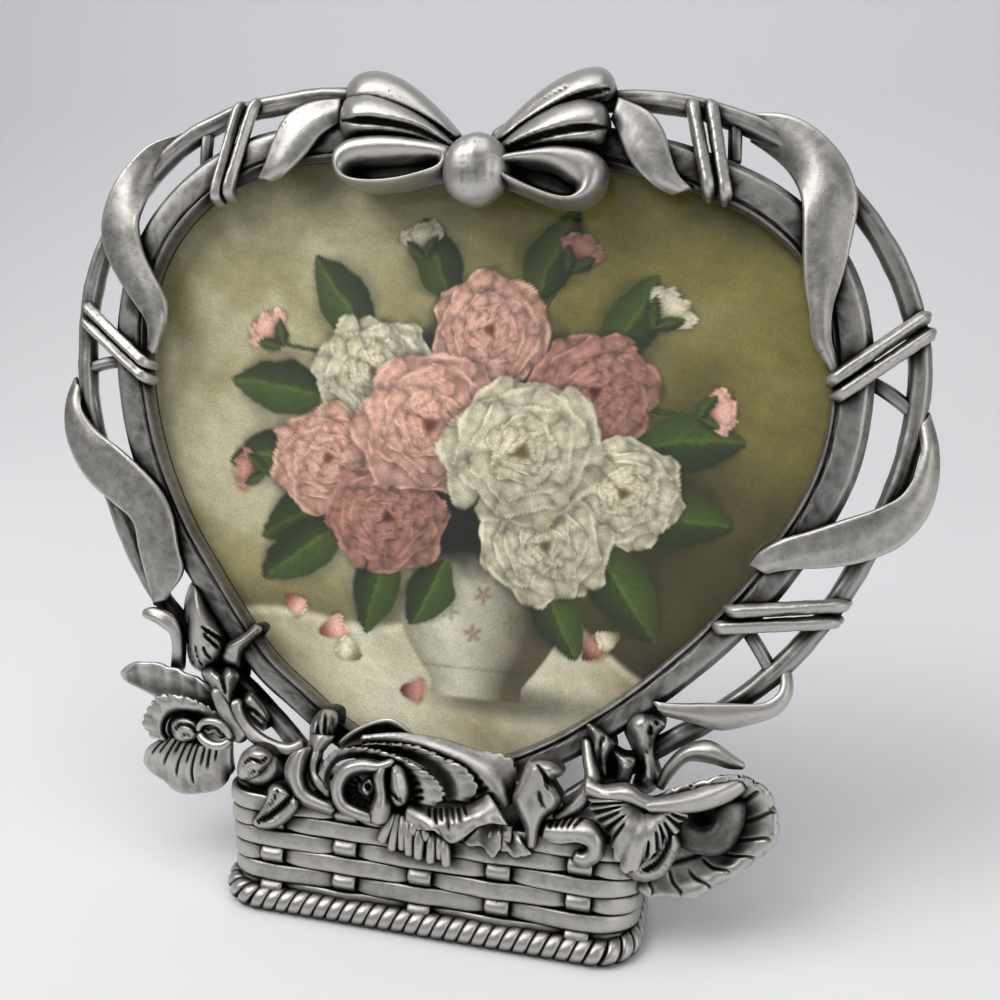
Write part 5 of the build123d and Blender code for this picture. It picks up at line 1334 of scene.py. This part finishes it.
PRINT_CENTRE = (4.0, 80.0)
PRINT_INSET = 1.3
PRINT_FRONT = -2.53
PRINT_BACK = -2.75
PRINT_RINGS = 124
PRINT_AROUND = 740
PRINT_CONTRAST = 1.22
PRINT_GAIN = 1.24
SEPIA_TINT = np.array([1.08, 1.0, 0.74])
SEPIA_SHARE = 0.1
LATTICE = 256


def srgb(red, green, blue):
    value = np.array([red, green, blue], float) / 255
    return np.where(value <= 0.04045, value / 12.92, ((value + 0.055) / 1.055) ** 2.4)


OLIVE_PALE = srgb(186, 179, 152)
OLIVE_MIDDLE = srgb(148, 138, 74)
OLIVE_DARK = srgb(62, 52, 22)
CLOTH_PALE = srgb(214, 208, 190)
CLOTH_SHADE = srgb(146, 134, 92)
LEAF_LIGHT = srgb(92, 112, 44)
LEAF_DARK = srgb(20, 28, 12)
VASE_LIGHT = srgb(205, 200, 186)
VASE_SHADE = srgb(92, 84, 62)
# Each flower's lit and shaded colour
PINK = (srgb(232, 190, 174), srgb(138, 74, 60))
CREAM = (srgb(226, 219, 198), srgb(128, 108, 66))
RED = (srgb(196, 148, 134), srgb(98, 44, 36))
FLOWER_COLOURS = (PINK, CREAM, RED)

# The spray: leaves as root, angle, length, width and bend; blooms as middle, size, colours and turn; buds
# as place, angle and size; and the fallen petals as root, angle, length and width
SPRAY_HEART = np.array((4, 82))
SPRAY_LEAVES = [((-18, 74), 3.5, 22, 6.2, 0.12), ((-22, 68), 3.9, 19, 5.4, -0.1),
                ((-12, 64), 4.3, 17, 5.0, 0.15), ((24, 66), -0.8, 19, 5.6, -0.1),
                ((28, 74), -0.25, 20, 5.6, 0.14), ((31, 84), 0.2, 18, 5.2, -0.12),
                ((24, 98), 0.9, 17, 5.0, 0.15), ((12, 108), 1.3, 17, 4.8, -0.12),
                ((-4, 108), 1.8, 15, 4.6, 0.12), ((-18, 102), 2.4, 17, 5.2, -0.14),
                ((-26, 90), 2.9, 19, 5.4, 0.1), ((16, 60), -1.2, 15, 4.6, 0.1),
                ((-2, 62), -1.9, 13, 4.6, -0.12), ((-30, 80), 3.2, 15, 4.4, 0.1)]
SPRAY_BLOOMS = [((-17, 95), 10.5, CREAM, 0.3), ((4, 103), 10, PINK, 1.1), ((23, 93), 10.5, RED, 0.6),
                ((-25, 79), 10, PINK, 2.0), ((29, 76), 9.5, CREAM, 0.2), ((-13, 69), 10.5, RED, 1.7),
                ((16, 66), 10.5, CREAM, 0.9), ((-6, 86), 13, PINK, 0.5), ((11, 82), 13.5, CREAM, 1.4)]
SPRAY_BUDS = [((-37, 101), 2.35, 5.0), ((34, 106), 0.85, 5.2), ((-40, 76), 3.1, 4.6), ((43, 90), 0.25, 4.6),
              ((-9, 118), 1.75, 4.6), ((19, 116), 1.15, 4.4)]
FALLEN_PETALS = [((-25, 47), 0.4, 5.2, 2.6), ((-17, 43), 2.6, 4.8, 2.4), ((24, 46.5), 1.0, 5.0, 2.5),
                 ((-32, 53.5), 5.6, 4.6, 2.3), ((30, 52), 3.6, 4.4, 2.2), ((-9, 38), 0.1, 4.6, 2.4)]
# A full bloom's rings of petals, from the outside: their count, and where they start, how long and how wide
# they are as shares of its size
BLOOM_RINGS = [(6, 0.3, 0.76, 0.64), (6, 0.2, 0.66, 0.56), (5, 0.12, 0.54, 0.48), (5, 0.05, 0.42, 0.38),
               (4, 0.0, 0.3, 0.28), (3, 0.0, 0.18, 0.18)]
BLOOM_SQUASH = 0.86
LIGHT_ANGLE = 2.3
VASE_FOOT = (5.0, 38.0)
VASE_HEIGHT = 31.0
VASE_BANDS = (0.17, 0.84)
VASE_MOTIFS = [(-5.5, 15), (0.5, 18.5), (6, 14), (-1, 11.5), (3.6, 22)]


def cell_noise(x, z, size, seed):
    """Smooth random values on a square lattice, from 0 to 1."""
    grid = np.random.default_rng(seed).random((LATTICE, LATTICE))
    xs, zs = x / size + 97.3, z / size + 41.7
    i, j = np.floor(xs).astype(int), np.floor(zs).astype(int)
    a, b = smooth_step(0, 1, xs - i), smooth_step(0, 1, zs - j)
    low, high = (grid[i % LATTICE, row % LATTICE] * (1 - a) + grid[(i + 1) % LATTICE, row % LATTICE] * a
                 for row in (j, j + 1))
    return low * (1 - b) + high * b


def clouds(x, z, size, seed, octaves=4):
    total = sum(cell_noise(x, z, size / 2 ** k, seed + k) * 0.55 ** k for k in range(octaves))
    return total / sum(0.55 ** k for k in range(octaves))


def outward_step(place, angle, reach):
    """A place moved by reach in the direction of an angle."""
    return place[0] + math.cos(angle) * reach, place[1] + math.sin(angle) * reach


class Canvas:
    """Colours at a set of points, painted from the back to the front."""

    def __init__(self, x, z):
        self.x, self.z = x, z
        self.colour = np.zeros((len(x), 3))
        self.wobble_x, self.wobble_z = (clouds(x, z, 3.2, seed, 3) - 0.5 for seed in (5, 15))

    def wash(self, colour, mask):
        self.colour += (colour - self.colour) * np.clip(mask, 0, 1)[:, None]

    def shade(self, dark, light, tone, mask):
        """Paints between two colours by tone."""
        self.wash(dark + (light - dark) * np.clip(tone, 0, 1)[:, None], mask)

    def dim(self, mask, depth):
        self.colour *= 1 - np.clip(mask, 0, 1)[:, None] * depth

    def local(self, place, angle, wobble=0.0):
        dx = self.x - place[0] + self.wobble_x * wobble
        dz = self.z - place[1] + self.wobble_z * wobble
        cos, sin = math.cos(angle), math.sin(angle)
        return dx * cos + dz * sin, -dx * sin + dz * cos

    def petal(self, root, angle, length, width, light, shade, seed):
        """A cupped petal: dark at its root and pale at its lip, with a soft shadow under it."""
        along, across = self.local(root, angle, 1.1)
        share = along / length
        reach = np.sqrt(np.clip(share, 0, 1)) * (1 - np.clip(share - 0.78, 0, 1) ** 1.5 * 3.2)
        notch = 1 + 0.05 * np.sin(across / width * 4 + seed) + 0.02 * np.sin(across / width * 9 + seed * 2)
        edge = np.abs(across) / np.maximum(width * reach, 1e-3)
        tip = 1 - smooth_step(0.97, 1.02, share * notch)
        inside = (1 - smooth_step(0.9, 1.02, edge)) * (share > 0) * tip
        shadow = (1 - smooth_step(0.8, 1.5, edge)) * (share > -0.1) * (1 - smooth_step(0.9, 1.22, share))
        self.dim(shadow * (1 - inside), 0.5)
        tone = smooth_step(0.05, 0.75, share) * (1 - 0.35 * np.clip(edge, 0, 1) ** 2)
        tone *= 1 - 0.32 * smooth_step(0.72, 0.9, share) * (1 - smooth_step(0.9, 1.0, share))
        tone += 0.25 * smooth_step(0.9, 0.99, share) + 0.1 * np.sin(across / width * 21 + seed) * share
        self.shade(shade, light, tone, inside)

    def bloom(self, centre, size, light, shade, turn, seed):
        """A full flower: rings of petals that grow smaller and steeper towards its heart."""
        random = np.random.default_rng(seed)
        for level, (count, start, length, width) in enumerate(BLOOM_RINGS):
            for k in range(count):
                angle = turn + 2 * math.pi * (k + 0.5 * (level % 2)) / count + random.uniform(-0.12, 0.12)
                root = (centre[0] + math.cos(angle) * start * size,
                        centre[1] + math.sin(angle) * start * size * BLOOM_SQUASH)
                squashed = BLOOM_SQUASH + (1 - BLOOM_SQUASH) * abs(math.cos(angle))
                reach = size * length * random.uniform(0.92, 1.06) * squashed
                lit = 0.5 + 0.5 * math.cos(angle - LIGHT_ANGLE)
                self.petal(root, angle, reach, size * width, np.clip(light * (0.80 + 0.22 * lit), 0, 0.86),
                           shade * (0.72 + 0.1 * level + 0.2 * lit), seed + level * 13 + k)
        away = np.hypot(*self.local(centre, 0)) / (size * 0.16)
        self.wash(shade * 0.55, (1 - smooth_step(0.3, 1.0, away)) * 0.75)

    def leaf(self, root, angle, length, width, bend, seed):
        """A pointed leaf with a pale midrib, one half lit and the other in shade."""
        along, across = self.local(root, angle, 1.3)
        share = np.clip(along / length, 0, 1)
        across = across - bend * length * share ** 2
        edge = np.abs(across) / (width * np.sin(math.pi * share ** 0.85) ** 0.8 + 1e-3)
        on = (along > 0) & (along < length)
        inside = (1 - smooth_step(0.88, 1.04, edge)) * on
        self.dim((1 - smooth_step(0.8, 1.7, edge)) * on * (1 - inside), 0.4)
        vein = np.abs(np.sin((along - np.abs(across) * 1.3) / length * 26 + seed))
        tone = 0.34 + 0.32 * (across > 0) + 0.2 * vein * (1 - edge.clip(0, 1)) - 0.22 * edge.clip(0, 1)
        tone += 0.5 * (1 - smooth_step(0.0, 0.13, edge))
        self.shade(LEAF_DARK, LEAF_LIGHT, tone, inside)

    def stem(self, points, width):
        away, share = distance_to(np.stack([self.x, self.z], 1), through(points, 8))
        away = away / (width * (1 - 0.5 * share))
        self.shade(LEAF_DARK, LEAF_LIGHT, 1 - away, 1 - smooth_step(0.8, 1.1, away))


def paint_backdrop(canvas):
    x, z = canvas.x, canvas.z
    mist = clouds(x, z, 46, 3, 5)
    side = smooth_step(-52, 46, x + (mist - 0.5) * 46)
    tone = np.clip(1.16 - side * 0.78 + (mist - 0.5) * 1.5, 0, 1)
    canvas.shade(OLIVE_DARK, OLIVE_MIDDLE, tone * 2, np.ones(len(x)))
    canvas.wash(OLIVE_PALE, smooth_step(0.45, 1.05, tone))
    canvas.dim((1 - smooth_step(0, 44, np.hypot(x - 26, z - 84))) * 0.9, 0.55)
    canvas.dim(smooth_step(90, 56, z) * smooth_step(10, 40, x), 0.62)
    canvas.wash(OLIVE_MIDDLE * 0.85, smooth_step(0.46, 0.68, clouds(x, z + 20, 24, 41)) * (1 - side) * 0.6)
    canvas.wash(OLIVE_PALE * 1.06, smooth_step(0.52, 0.8, clouds(x - 30, z, 30, 23)) * (1 - side) * 0.5)


def paint_cloth(canvas):
    x, z = canvas.x, canvas.z
    edge = 52 + 3.4 * np.sin(x / 17 + 0.6) + 2.2 * np.sin(x / 7.3) - 9 * smooth_step(12, 42, x)
    folds = 0.5 + 0.5 * np.sin((x * 0.8 + z * 0.34) / 4.6 + 2.2 * clouds(x, z, 26, 31, 2))
    light = np.clip(0.34 + 0.5 * folds + 0.3 * (clouds(x, z, 15, 37, 3) - 0.5), 0, 1)
    canvas.dim(smooth_step(9, 0, z - edge), 0.4)
    canvas.shade(CLOTH_SHADE, CLOTH_PALE, light * (1 - 0.3 * smooth_step(8, 48, np.abs(x + 6))),
                 smooth_step(-1.2, 1.2, edge - z))
    canvas.wash(CREAM[0], smooth_step(1.3, 0.1, np.abs(z - edge + 0.6)) * 0.55)


def paint_vase(canvas):
    x, z = canvas.x - VASE_FOOT[0], canvas.z - VASE_FOOT[1]
    share = np.clip(z / VASE_HEIGHT, 0, 1)
    half = 6.2 + 8.6 * np.sin(math.pi * np.clip(share * 0.93 + 0.04, 0, 1)) ** 1.4
    half += 1.2 * smooth_step(0.86, 1, share) + 1.4 * smooth_step(0.1, 0, share)
    across = x / half
    on = (1 - smooth_step(0.97, 1.02, np.abs(across))) * smooth_step(-0.4, 0.4, z) * (z < VASE_HEIGHT)
    canvas.dim(1 - smooth_step(0.2, 1.0, np.hypot((x - 7) / 21, z / 4.4)), 0.62)
    tone = np.clip(0.95 - np.abs(across + 0.36) ** 1.3 * 0.98, 0, 1) - 0.5 * smooth_step(0.75, 1.0, share)
    tone += 0.1 * (clouds(canvas.x, canvas.z, 6, 51, 3) - 0.5)
    canvas.shade(VASE_SHADE, VASE_LIGHT, tone, on)
    band = np.maximum(*(1 - np.abs(share - level) / 0.012 for level in VASE_BANDS)).clip(0, 1)
    canvas.dim(band * on, 0.35)
    for number, (dx, dz) in enumerate(VASE_MOTIFS):
        for turn in range(5):
            along, over = canvas.local((VASE_FOOT[0] + dx, VASE_FOOT[1] + dz), turn * 1.2566 + number)
            dab = 1 - smooth_step(0.6, 1.0, np.hypot(along - 0.95, over / 0.5))
            canvas.wash(RED[1] * 1.5 if number % 2 else LEAF_LIGHT, dab * on * 0.5)
    gleam = np.hypot((across + 0.42) / 0.13, (share - 0.6) / 0.2)
    canvas.wash(CREAM[0] * 1.05, (1 - smooth_step(0.2, 1.0, gleam)) * on * 0.6)


def paint_spray(canvas):
    away = np.hypot((canvas.x - 3) / 33, (canvas.z - 82) / 27)
    gloom = clouds(canvas.x, canvas.z, 9, 61) - 0.5
    canvas.wash(LEAF_DARK * 0.9, 1 - smooth_step(0.62, 1.0, away + 0.35 * gloom))
    for place, angle, _ in SPRAY_BUDS:
        bend = (SPRAY_HEART + place) / 2 + (0, 4)
        canvas.stem([SPRAY_HEART, bend, outward_step(place, angle, -2)], 0.75)
    for number, (root, angle, length, width, bend) in enumerate(SPRAY_LEAVES):
        canvas.leaf(root, angle, length, width, bend, number)
    for number, (place, angle, size) in enumerate(SPRAY_BUDS):
        for side in (-0.5, 0.5, 0):
            canvas.petal(outward_step(place, angle, -2.2), angle + side, size * 1.25, size * 0.5,
                         *FLOWER_COLOURS[number % 3], number)
        for side in (-0.6, 0.6):
            canvas.leaf(outward_step(place, angle, -3), angle + side, size * 1.1, size * 0.26, 0, number)
    for number, (centre, size, colours, turn) in enumerate(SPRAY_BLOOMS):
        canvas.bloom(centre, size, *colours, turn, 100 + number * 7)
    for number, (root, angle, length, width) in enumerate(FALLEN_PETALS):
        canvas.petal(root, angle, length, width, *FLOWER_COLOURS[number % 3], number)


def print_colours(x, z):
    canvas = Canvas(x, z)
    for paint in (paint_backdrop, paint_cloth, paint_vase, paint_spray):
        paint(canvas)
    streaks = clouds(x * 0.5 + z, z * 0.35 - x * 0.2, 1.6, 83, 3)
    canvas.colour *= (0.8 + 0.2 * clouds(x, z, 4.2, 77, 3) + 0.2 * streaks)[:, None]
    grey = canvas.colour.mean(1, keepdims=True)
    canvas.colour = canvas.colour * (1 - SEPIA_SHARE) + grey * SEPIA_TINT * SEPIA_SHARE
    return canvas.colour ** PRINT_CONTRAST * PRINT_GAIN


def build_print():
    outline = through(OPENING, 20, closed=True)
    outline = outline + ring_normals(outline) * PRINT_INSET
    outline = spaced(outline[::5], PRINT_AROUND, closed=True)
    shares = (np.arange(PRINT_RINGS) + 1) / PRINT_RINGS
    flat = PRINT_CENTRE + (outline - PRINT_CENTRE) * shares[:, None, None]
    flat = np.concatenate([[PRINT_CENTRE], flat.reshape(-1, 2)])
    rim, base = 1 + (PRINT_RINGS - 1) * PRINT_AROUND, len(flat)
    border = [(k, (k + 1) % PRINT_AROUND) for k in range(PRINT_AROUND)]
    faces = [(0, 1 + a, 1 + b) for a, b in border]
    faces += grid_faces(PRINT_RINGS, PRINT_AROUND, base=1, wrap_columns=True)
    faces += [(rim + a, rim + b, base + b, base + a) for a, b in border]
    faces.append(tuple(base + a for a, _ in border))
    top = np.column_stack([flat, np.full(len(flat), PRINT_FRONT)])
    under = np.column_stack([outline, np.full(PRINT_AROUND, PRINT_BACK)])
    piece = solid_object("flower_print", np.concatenate([top, under]), faces)
    piece.data.shade_flat()
    colours = np.ones((len(piece.data.vertices), 4))
    colours[:base, :3] = print_colours(flat[:, 0], flat[:, 1])
    colours[base:, :3] = CLOTH_PALE
    painting = piece.data.color_attributes.new("painting", "FLOAT_COLOR", "POINT")
    painting.data.foreach_set("color", colours.astype(np.float32).ravel())
    piece.data.materials.append(printed_paper)
    dress(piece, "picture_print")


# Building the frame


def build_rim():
    # The rim, vines and twigs take the darker pewter copy, which paints shade on them.
    cast_piece("heart_rim", "inner_rim", rim_shell(), metal=shade_painted_pewter)
    cast_piece("vine_left", "outer_vine_left", vine_shell(VINE_LEFT, 1), metal=shade_painted_pewter)
    cast_piece("vine_right", "outer_vine_right", vine_shell(VINE_RIGHT, 5), metal=shade_painted_pewter)
    cast_piece("twigs", "cross_twigs", *map(twig_shell, *zip(*enumerate(TWIGS))), metal=shade_painted_pewter)
    cast_piece("wire_ties", "binding_wires", *map(wire_shell, *zip(*enumerate(BINDINGS))))
    for number, (node, stations) in enumerate(RIBBONS.items()):
        cast_piece(node + "_band", node, strip(stations, RIBBON_CROWN, thickness=RIBBON_THICKNESS,
                                               length_step=RIBBON_STEP, seed=number))


def build_bow():
    cast_piece("bow_centre", "bow_knot",
               pebble(seen([KNOT])[0], KNOT_RADII, rows=34, columns=48, dents=0.03, seed=3))
    for node, (outline, folds) in LOOPS.items():
        cast_piece(node + "_fold", node, boss(outline, *LOOP_LEVELS[node], roll=3.4, marks=folds))
    for node, outlines in OPEN_LOOPS.items():
        cast_piece(node + "_fold", node, *open_loop_shells(*outlines))


def build_left_group():
    cast_piece("camellia_upper", "camellia_upper_petal",
               sheet(CAMELLIA_UPPER, ruffle=0.25, ruffles=5, seed=2))
    cast_piece("camellia_middle", "camellia_middle_petal",
               sheet(CAMELLIA_MIDDLE, scallops=17, scallop_depth=0.8, ruffle=0.15, ruffles=8,
                     thickness=0.8, seed=4))
    cast_piece("camellia_lower", "camellia_lower_petal",
               sheet(CAMELLIA_LOWER, grooves=CAMELLIA_SLITS, groove_depth=0.7, groove_width=0.36,
                     ruffle=0.25, ruffles=3, thickness=1.5, seed=6))
    cast_piece("camellia_centre", "camellia_heart",
               boss(CAMELLIA_FLOOR, 3.0, 4.6, roll=1.2),
               boss(CAMELLIA_CURL, 5.0, 8.4, roll=1.8, marks=CAMELLIA_CURL_CUTS),
               *[rod(spaced(seen(path), 60), radius, sides=14) for path, radius in CAMELLIA_LIPS])
    cast_piece("bud", "left_bud", boss(LEFT_BUD, -0.8, 6.8, roll=4.6, marks=LEFT_BUD_CUTS))
    horn, widths = LEFT_SEPAL
    radius = np.interp(np.linspace(0, 1, HORN_STEPS), np.linspace(0, 1, len(widths)), widths)
    cast_piece("bud_sepals", "left_bud_sepals",
               rod(spaced(seen(horn), HORN_STEPS), radius, sides=18, flats=0.1),
               boss(RIGHT_SEPAL, 0.8, 5.2, roll=1.9, ridges=RIGHT_SEPAL_RIDGES))
    cast_piece("bud_collar", "left_bud_collar", boss(BUD_COLLAR, 0.8, 7.4, roll=2.6, marks=BUD_COLLAR_CUTS))
    cast_piece("curling_stem", "left_stem",
               *[rod(spaced(seen(path), 90), radius, sides=18, flats=0.08) for path, radius in STEMS])
    cast_piece("left_leaf_pair", "left_leaves",
               boss(CURL_LEAF, 1.5, 5.0, roll=2.0, marks=CURL_LEAF_CUTS),
               boss(LOWER_LEAF, 9.8, 12.2, roll=1.5, marks=LOWER_LEAF_CUTS, ridges=LOWER_LEAF_RIDGES))
    cast_piece("round_bud", "small_bud",
               boss(SMALL_BUD_BACK, 6.2, 9.8, roll=2.4),
               boss(SMALL_BUD_FRONT, 8.2, 11.4, roll=1.9, marks=SMALL_BUD_CUTS))


def slits(shares, start, end):
    return [(share, start, end) for share in shares]


def fringe_rod(number, top, end, radius):
    top, end = (*top, FRINGE_TOP_LEVEL), (*end, FRINGE_END_LEVEL)
    return rod(spaced(seen([top, halfway(top, end, FRINGE_CROWN), end]), 40), radius, sides=12,
               flats=ROD_FLATS, seed=number)


def build_rose():
    cast_piece("rose_side_petals", "rose_left_petals",
               sheet(ROSE_CRESCENT, thickness=1.0), sheet(ROSE_STRIP, ruffle=0.3, ruffles=3),
               boss(ROSE_TIP, 3.0, 8.4, roll=2.2, marks=ROSE_TIP_CUTS))
    cast_piece("rose_outer_petals", "rose_back_petal",
               sheet(ROSE_ARCH),
               sheet(ROSE_BACK, scallops=15, scallop_depth=0.6, groove_depth=0.7, seed=3,
                     grooves=slits((0.6, 0.65, 0.7, 0.75, 0.8, 0.85, 0.9, 0.95), 0.05, 0.3)))
    cast_piece("rose_toothed_petals", "rose_serrated_petal",
               sheet(ROSE_OUTER_ARC, scallops=17, scallop_depth=0.6, thickness=0.8,
                     ruffle=0.12, ruffles=9, seed=5),
               sheet(ROSE_INNER_ARC, scallops=27, scallop_depth=0.6, thickness=0.8,
                     ruffle=0.12, ruffles=13, groove_depth=0.6, seed=8,
                     grooves=slits((0.7, 0.75, 0.8, 0.85, 0.9, 0.95), 0.0, 0.45)))
    cast_piece("rose_centre", "rose_heart",
               boss(ROSE_FLOOR, 9.4, 11.0, roll=1.0, marks=ROSE_FLOOR_CUTS),
               sheet(ROSE_CUP, thickness=1.0),
               boss(ROSE_DROP, 10.4, 13.2, roll=1.0, bowls=[((-13.4, 20.2), 0.8, 1.8)]),
               sheet(ROSE_TONGUE, thickness=1.0),
               boss(ROSE_FOLD, 10.4, 13.6, roll=1.3, marks=ROSE_FOLD_CUTS, ridges=ROSE_FOLD_RIDGES))
    cast_piece("rose_front_petals", "rose_front_petal",
               sheet(ROSE_FRONT, grooves=ROSE_FRONT_SLITS, groove_depth=0.7, groove_width=0.4,
                     ruffle=0.3, ruffles=4, thickness=1.0, seed=9),
               *[sheet(rails, scallops=3, scallop_depth=0.4) for rails in ROSE_SKIRTS])
    cast_piece("rose_tassel", "rose_fringe",
               boss(FRINGE_BACK, 9.4, 10.9, roll=1.0),
               *[fringe_rod(number, *finger) for number, finger in enumerate(FRINGE)])
    cast_piece("centre_leaf_pair", "centre_leaves",
               boss(TALL_LEAF, 8.2, 11.9, roll=1.7, marks=TALL_LEAF_CUTS),
               strip(CURLED_LEAF, 1.2, thickness=1.0, groove_depth=0.8,
                     grooves=slits((0.08, 0.14, 0.2, 0.26, 0.33), 0.0, 0.4)))


def build_lily():
    cast_piece("lily_trumpet", "lily_trumpet_petal",
               boss(LILY_TRUMPET, 6.8, 9.2, roll=1.4),
               sheet(LILY_FAN, grooves=LILY_PLEATS, groove_depth=0.8, scallops=13, scallop_depth=1.1,
                     ruffle=0.3, ruffles=6, seed=2),
               sheet(LILY_BROW))
    cast_piece("lily_outer", "lily_outer_petal",
               sheet(LILY_OUTER, scallops=22, scallop_depth=1.0, ruffle=0.35, ruffles=7, seed=12,
                     grooves=LILY_VEINS),
               sheet(LILY_LIP, thickness=1.0),
               boss(LILY_FLOOR, 1.8, 3.6, roll=1.5))
    cast_piece("lily_inner", "lily_inner_petals",
               sheet(LILY_CURL), boss(LILY_SMALL, 8.4, 12.0, roll=1.8, marks=LILY_SMALL_CUTS))
    cast_piece("lily_bud_tubes", "lily_buds",
               boss(LILY_BUD_LEFT, 0.6, 6.2, roll=2.4, marks=LILY_BUD_LEFT_CUTS,
                    ridges=LILY_BUD_LEFT_RIDGES),
               boss(LILY_BUD_MIDDLE, 3.0, 7.8, roll=1.9, marks=LILY_BUD_MIDDLE_CUTS),
               boss(LILY_BUD_RIGHT, -0.5, 5.6, roll=2.8, marks=LILY_BUD_RIGHT_CUTS))
    cast_piece("lily_leaf_pair", "lily_leaves", sheet(LILY_LEAF), sheet(LILY_ARM))


def build_back():
    """Gives the CAD pieces that show as they are their finishes."""
    finishes = [(pewter, ["basket_body"]), (clear_glass, ["glass_pane"]), (grey_card, ["spacer_card"]),
                (velvet, ["back_board", "easel_strut"]),
                (satin_nickel, ["hinge_plate", "strut_leaf", "hinge_pin", "hinge_rivets", "strut_rivets",
                                "button_rivets", *(f"turn_button_{number}" for number in range(1, 5))])]
    for finish, names in finishes:
        for name in names:
            slots = frame["nodes"][name].data.materials
            slots.clear()
            slots.append(finish)
    frame["nodes"]["glass_pane"].visible_shadow = False


# Floor, light and camera

CAMERA_PLACE = (0.047098, -0.140531, 0.116991)
CAMERA_TURN = (73.96668, -0.00078, 13.73300)
CAMERA_LENS = 35.65566
CAMERA_SENSOR = 36.0
CAMERA_CLIP = 0.01
FLOOR_REACH = 2.2
BACKDROP_START = 0.32
BACKDROP_RADIUS = 0.35
BACKDROP_HEIGHT = 1.6
BACKDROP_STEPS = 16
# Painted light on the board: pale on the floor and darker up the wall, standing in for how the lamps' light
# falls off.
LIT_FLOOR_COLOUR = (0.925, 0.93, 0.94)
SHADED_WALL_COLOUR = (0.775, 0.785, 0.805)
WALL_SHADE_START = 0.0
WALL_SHADE_FULL = 0.2
SKY_COLOUR = (0.97, 0.98, 1.0)
SKY_STRENGTH = 0.3
LIT_PLACE = (0, 0, 0.07)
# Each lamp's name, place, size and power
LAMPS = [
    ("key_light", (-0.45, -0.35, 0.75), (0.55, 0.55), 3.9),
    ("fill_light", (0.75, -0.45, 0.35), (0.6, 0.6), 1.5),
    ("top_light", (0.0, -0.05, 0.9), (0.7, 0.5), 1.9)]


def add_floor():
    """A floor that sweeps up into a wall behind the frame, its colour painted darker as it rises: painted
    shade.
    """
    profile = [(-FLOOR_REACH, 0.0), (BACKDROP_START, 0.0)]
    for k in range(1, BACKDROP_STEPS + 1):
        angle = math.pi / 2 * k / BACKDROP_STEPS
        profile.append((BACKDROP_START + math.sin(angle) * BACKDROP_RADIUS,
                        BACKDROP_RADIUS * (1 - math.cos(angle))))
    profile.append((BACKDROP_START + BACKDROP_RADIUS, BACKDROP_HEIGHT))
    points = [(side * FLOOR_REACH, y, z) for y, z in profile for side in (-1, 1)]
    faces = [(2 * k, 2 * k + 1, 2 * k + 3, 2 * k + 2) for k in range(len(profile) - 1)]
    mesh = bpy.data.meshes.new("sweep_floor")
    mesh.from_pydata(points, [], faces)
    mesh.shade_smooth()
    material, work, surface = new_material("white_board", Roughness=0.62, Specular_IOR_Level=0.3)
    level = work.add("ShaderNodeSeparateXYZ", Vector=work.place()).outputs["Z"]
    # Painted shade: the board darkens from the floor colour to the wall colour as it rises.
    work.set(surface["Base Color"],
             work.mix(work.mapped(level, WALL_SHADE_START, WALL_SHADE_FULL), LIT_FLOOR_COLOUR, SHADED_WALL_COLOUR))
    mesh.materials.append(material)
    linked("sweep_floor", mesh)


def add_light():
    sky = bpy.data.worlds.new("studio")
    bpy.context.scene.world = sky
    sky.use_nodes = True
    background = sky.node_tree.nodes["Background"].inputs
    background["Color"].default_value = (*SKY_COLOUR, 1)
    background["Strength"].default_value = SKY_STRENGTH
    for name, place, size, power in LAMPS:
        lamp = bpy.data.lights.new(name, "AREA")
        lamp.shape = "RECTANGLE"
        lamp.size, lamp.size_y = size
        lamp.energy = power
        holder = linked(name, lamp)
        holder.location = place
        holder.rotation_euler = (Vector(LIT_PLACE) - Vector(place)).to_track_quat("-Z", "Y").to_euler()


def add_camera():
    camera = bpy.data.cameras.new("camera")
    camera.lens, camera.sensor_width = CAMERA_LENS, CAMERA_SENSOR
    camera.clip_start = CAMERA_CLIP
    holder = linked("camera", camera)
    holder.location = CAMERA_PLACE
    holder.rotation_euler = [math.radians(angle) for angle in CAMERA_TURN]
    bpy.context.scene.camera = holder


for build in (build_rim, build_bow, build_left_group, build_rose, build_lily, build_basket, build_print,
              build_back, add_floor, add_light, add_camera):
    build()
bpy.context.scene.view_settings.view_transform = "Standard"
